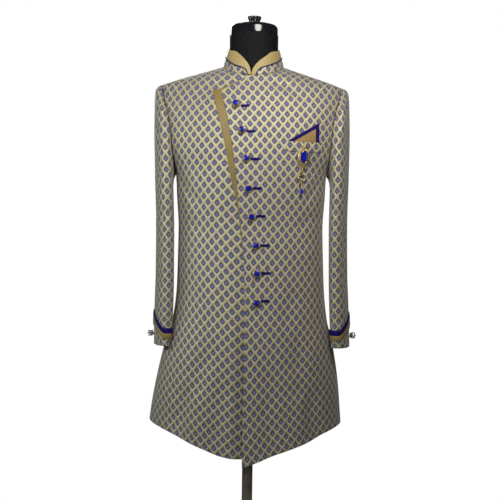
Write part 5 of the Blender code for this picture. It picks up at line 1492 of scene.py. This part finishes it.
parts = [link("ring_one", hung(-hang) @ sideways), link("ring_two", hung(second))]
parts.append(hoop("hoop_core", PENDANT_RADIUS, PENDANT_CORE, place=hung(body)))
for i in range(10):
    spot = hung(body) @ spin(2 * math.pi * (i + 0.5) / 10, PENDANT_RADIUS + 0.0004)
    parts.append(ball("hoop_bead", 0.0024 if i in LARGE_BEADS else 0.0021, place=spot, segments=14))
rides(joined("pendant_gilt", parts), "brooch_pendant", "pendant")

foot = link_centre + (0, 0, second - hang - CAP_DROP)
profile = mm((2.7, 0), (3.1, 0.6), (3, 1.2), (1.4, 3), (1.3, 3.8), (2.4, 5), (2.6, 6), (2.2, 7.2), (0.9, 8.4))
cap = turned("cap", profile, 24)
cap.data.transform(shift(*foot))
parts = [cap, link("ring_three", hung(second - hang) @ sideways)]
rides(joined("drop_gilt", parts), "brooch_drop", "drop")
profile = mm((1.2, 0), (2.6, 0.8), (3.5, 2.2), (4, 4.5), (3.8, 6.6), (3.1, 9.4), (2.2, 11.6), (1.6, 13))
drop = turned("drop_stone", profile, 12, BLUE_STONE, 12)
drop.data.transform(shift(*(foot - (0, 0, STONE_DROP))))
rides(drop, "brooch_drop_stone", "drop")
discard(petal, seed)

# %% [markdown]
# ## Dress form and stand
# The form is a padded torso under black jersey, hidden but for its neck,
# with a lacquered cap and a turned knob.
# It stands on a steel tube in a round base plate, heavy enough to stop the coat tipping.
# All of it is turned except the torso, which stays the part's own and gets its jersey here.


# %% form and stand
def stand_piece(name, node, profile, sides, material, centre=0.0):
    made = turned(name, profile, sides, material)
    made.data.transform(shift(centre, 0, 0))
    rides(made, node)


stand_piece("neck_lid", "form_neck_cap", mm(
    (58.6, 1435.3), (59.2, 1435.9), (59.2, 1450.6), (58.6, 1453.6), (57.2, 1456.4), (54.8, 1458.6),
    (50, 1460.2), (44, 1461.2), (30, 1462), (16, 1462.5)), 96, BLACK_GLOSS, NECK_SHIFT)
stand_piece("lid_knob", "form_knob", mm(
    (11.8, 1462.8), (13, 1463.4), (13.3, 1464.5), (13.1, 1466.8), (13.4, 1469), (14.8, 1473), (16.4, 1476.4),
    (17.5, 1479.6), (17.6, 1481.2), (17, 1482.4), (14, 1483)), 48, BLACK_GLOSS, NECK_SHIFT)
stand_piece("tube", "stand_pole", mm((13.1, 12.3), (13.1, 659.7)), 64, STEEL)
stand_piece("plate_on_floor", "stand_base", mm(
    (178.5, 0), (179.6, 0.4), (180, 1.5), (180, 9.8), (179.5, 11.1), (178, 11.9), (40, 12.1)),
    128, STEEL)
torso = bpy.data.objects["form_torso"]
torso.data.materials.clear()
torso.data.materials.append(BLACK_COVER)
print("form and stand are dressed")

# %% [markdown]
# ## The pieces of cloth
# A front, the back or a sleeve is one flat piece, shaped at its edges,
# and a band or strip is a narrow length sewn down flat.
# The small trims that lie on the left front go with it, so they move as it moves.

# %% [markdown]
# ## Stage
# The coat stands on a pale floor in plain soft light: two round lamps in front,
# a weak one at each side and one behind.
# The camera stands level with the coat's middle, and is tipped a little to one side.
# The white ground is only for the camera, so that the cloth is lit by the lamps.


# %% stage and camera
def area_light(name, place, aim, size, power, colour):
    lamp = bpy.data.lights.new(name, "AREA")
    lamp.shape = "DISK"
    lamp.size, lamp.energy, lamp.color = size, power, colour
    made = new_piece(name, lamp)
    made.location = place
    made.rotation_euler = (Vector(aim) - Vector(place)).to_track_quat("-Z", "Y").to_euler()


bpy.ops.mesh.primitive_circle_add(vertices=96, radius=0.9, fill_type="NGON", location=(0, 0, 0))
floor = bpy.context.object
floor.name = "floor"
paper = Shader("paper", roughness=0.9)
paper.set("Base Color", paper.blend(paper.noise(30.0), (0.84, 0.84, 0.84), (0.88, 0.88, 0.88)))
floor.data.materials.append(paper.material)

world = bpy.data.worlds.new("studio")
bpy.context.scene.world = world
world.use_nodes = True
tree = world.node_tree
ground = tree.nodes["Background"]
room = tree.nodes.new("ShaderNodeBackground")
for light, strength in ((ground, 1.0), (room, 0.03)):
    light.inputs["Color"].default_value = (1, 1, 1, 1)
    light.inputs["Strength"].default_value = strength
seen = tree.nodes.new("ShaderNodeLightPath")
both = tree.nodes.new("ShaderNodeMixShader")
for number, source in enumerate((seen.outputs["Is Camera Ray"], room.outputs[0], ground.outputs[0])):
    tree.links.new(source, both.inputs[number])
tree.links.new(both.outputs[0], tree.nodes["World Output"].inputs["Surface"])

area_light("near_lamp", (0.28, -0.80, 1.75), (0.08, 0, 1.25), 0.45, 6.7, (1.0, 0.95, 0.93))
area_light("front_lamp", (-0.85, -1.15, 1.35), (0, 0, 1.1), 0.5, 7.2, (0.92, 0.97, 1.0))
area_light("side_lamp", (-1.30, -0.10, 1.20), (0, 0, 1.05), 0.5, 2.5, (0.96, 1.0, 0.82))
area_light("far_side_lamp", (1.30, -0.30, 1.15), (0, 0, 1.05), 0.5, 0.7, (1.0, 1.0, 0.85))
area_light("back_lamp", (-0.4, 2.2, 1.7), (0, 0, 0.95), 1.2, 30, (1.0, 1.0, 1.0))

CAMERA_TIP, CAMERA_PLACE = 0.01435, (-0.0011, -2.6, 0.9)
camera_data = bpy.data.cameras.new("camera")
camera_data.lens, camera_data.sensor_width = 74.88, 36
camera = new_piece("camera", camera_data)
tip = math.atan(CAMERA_TIP)
right, above = Vector((math.cos(tip), 0, math.sin(tip))), Vector((-math.sin(tip), 0, math.cos(tip)))
view = Matrix((right, above, Vector((0, -1, 0)))).transposed().to_4x4()
view.translation = CAMERA_PLACE
camera.matrix_world = view
bpy.context.scene.camera = camera
print("camera and lights are set")
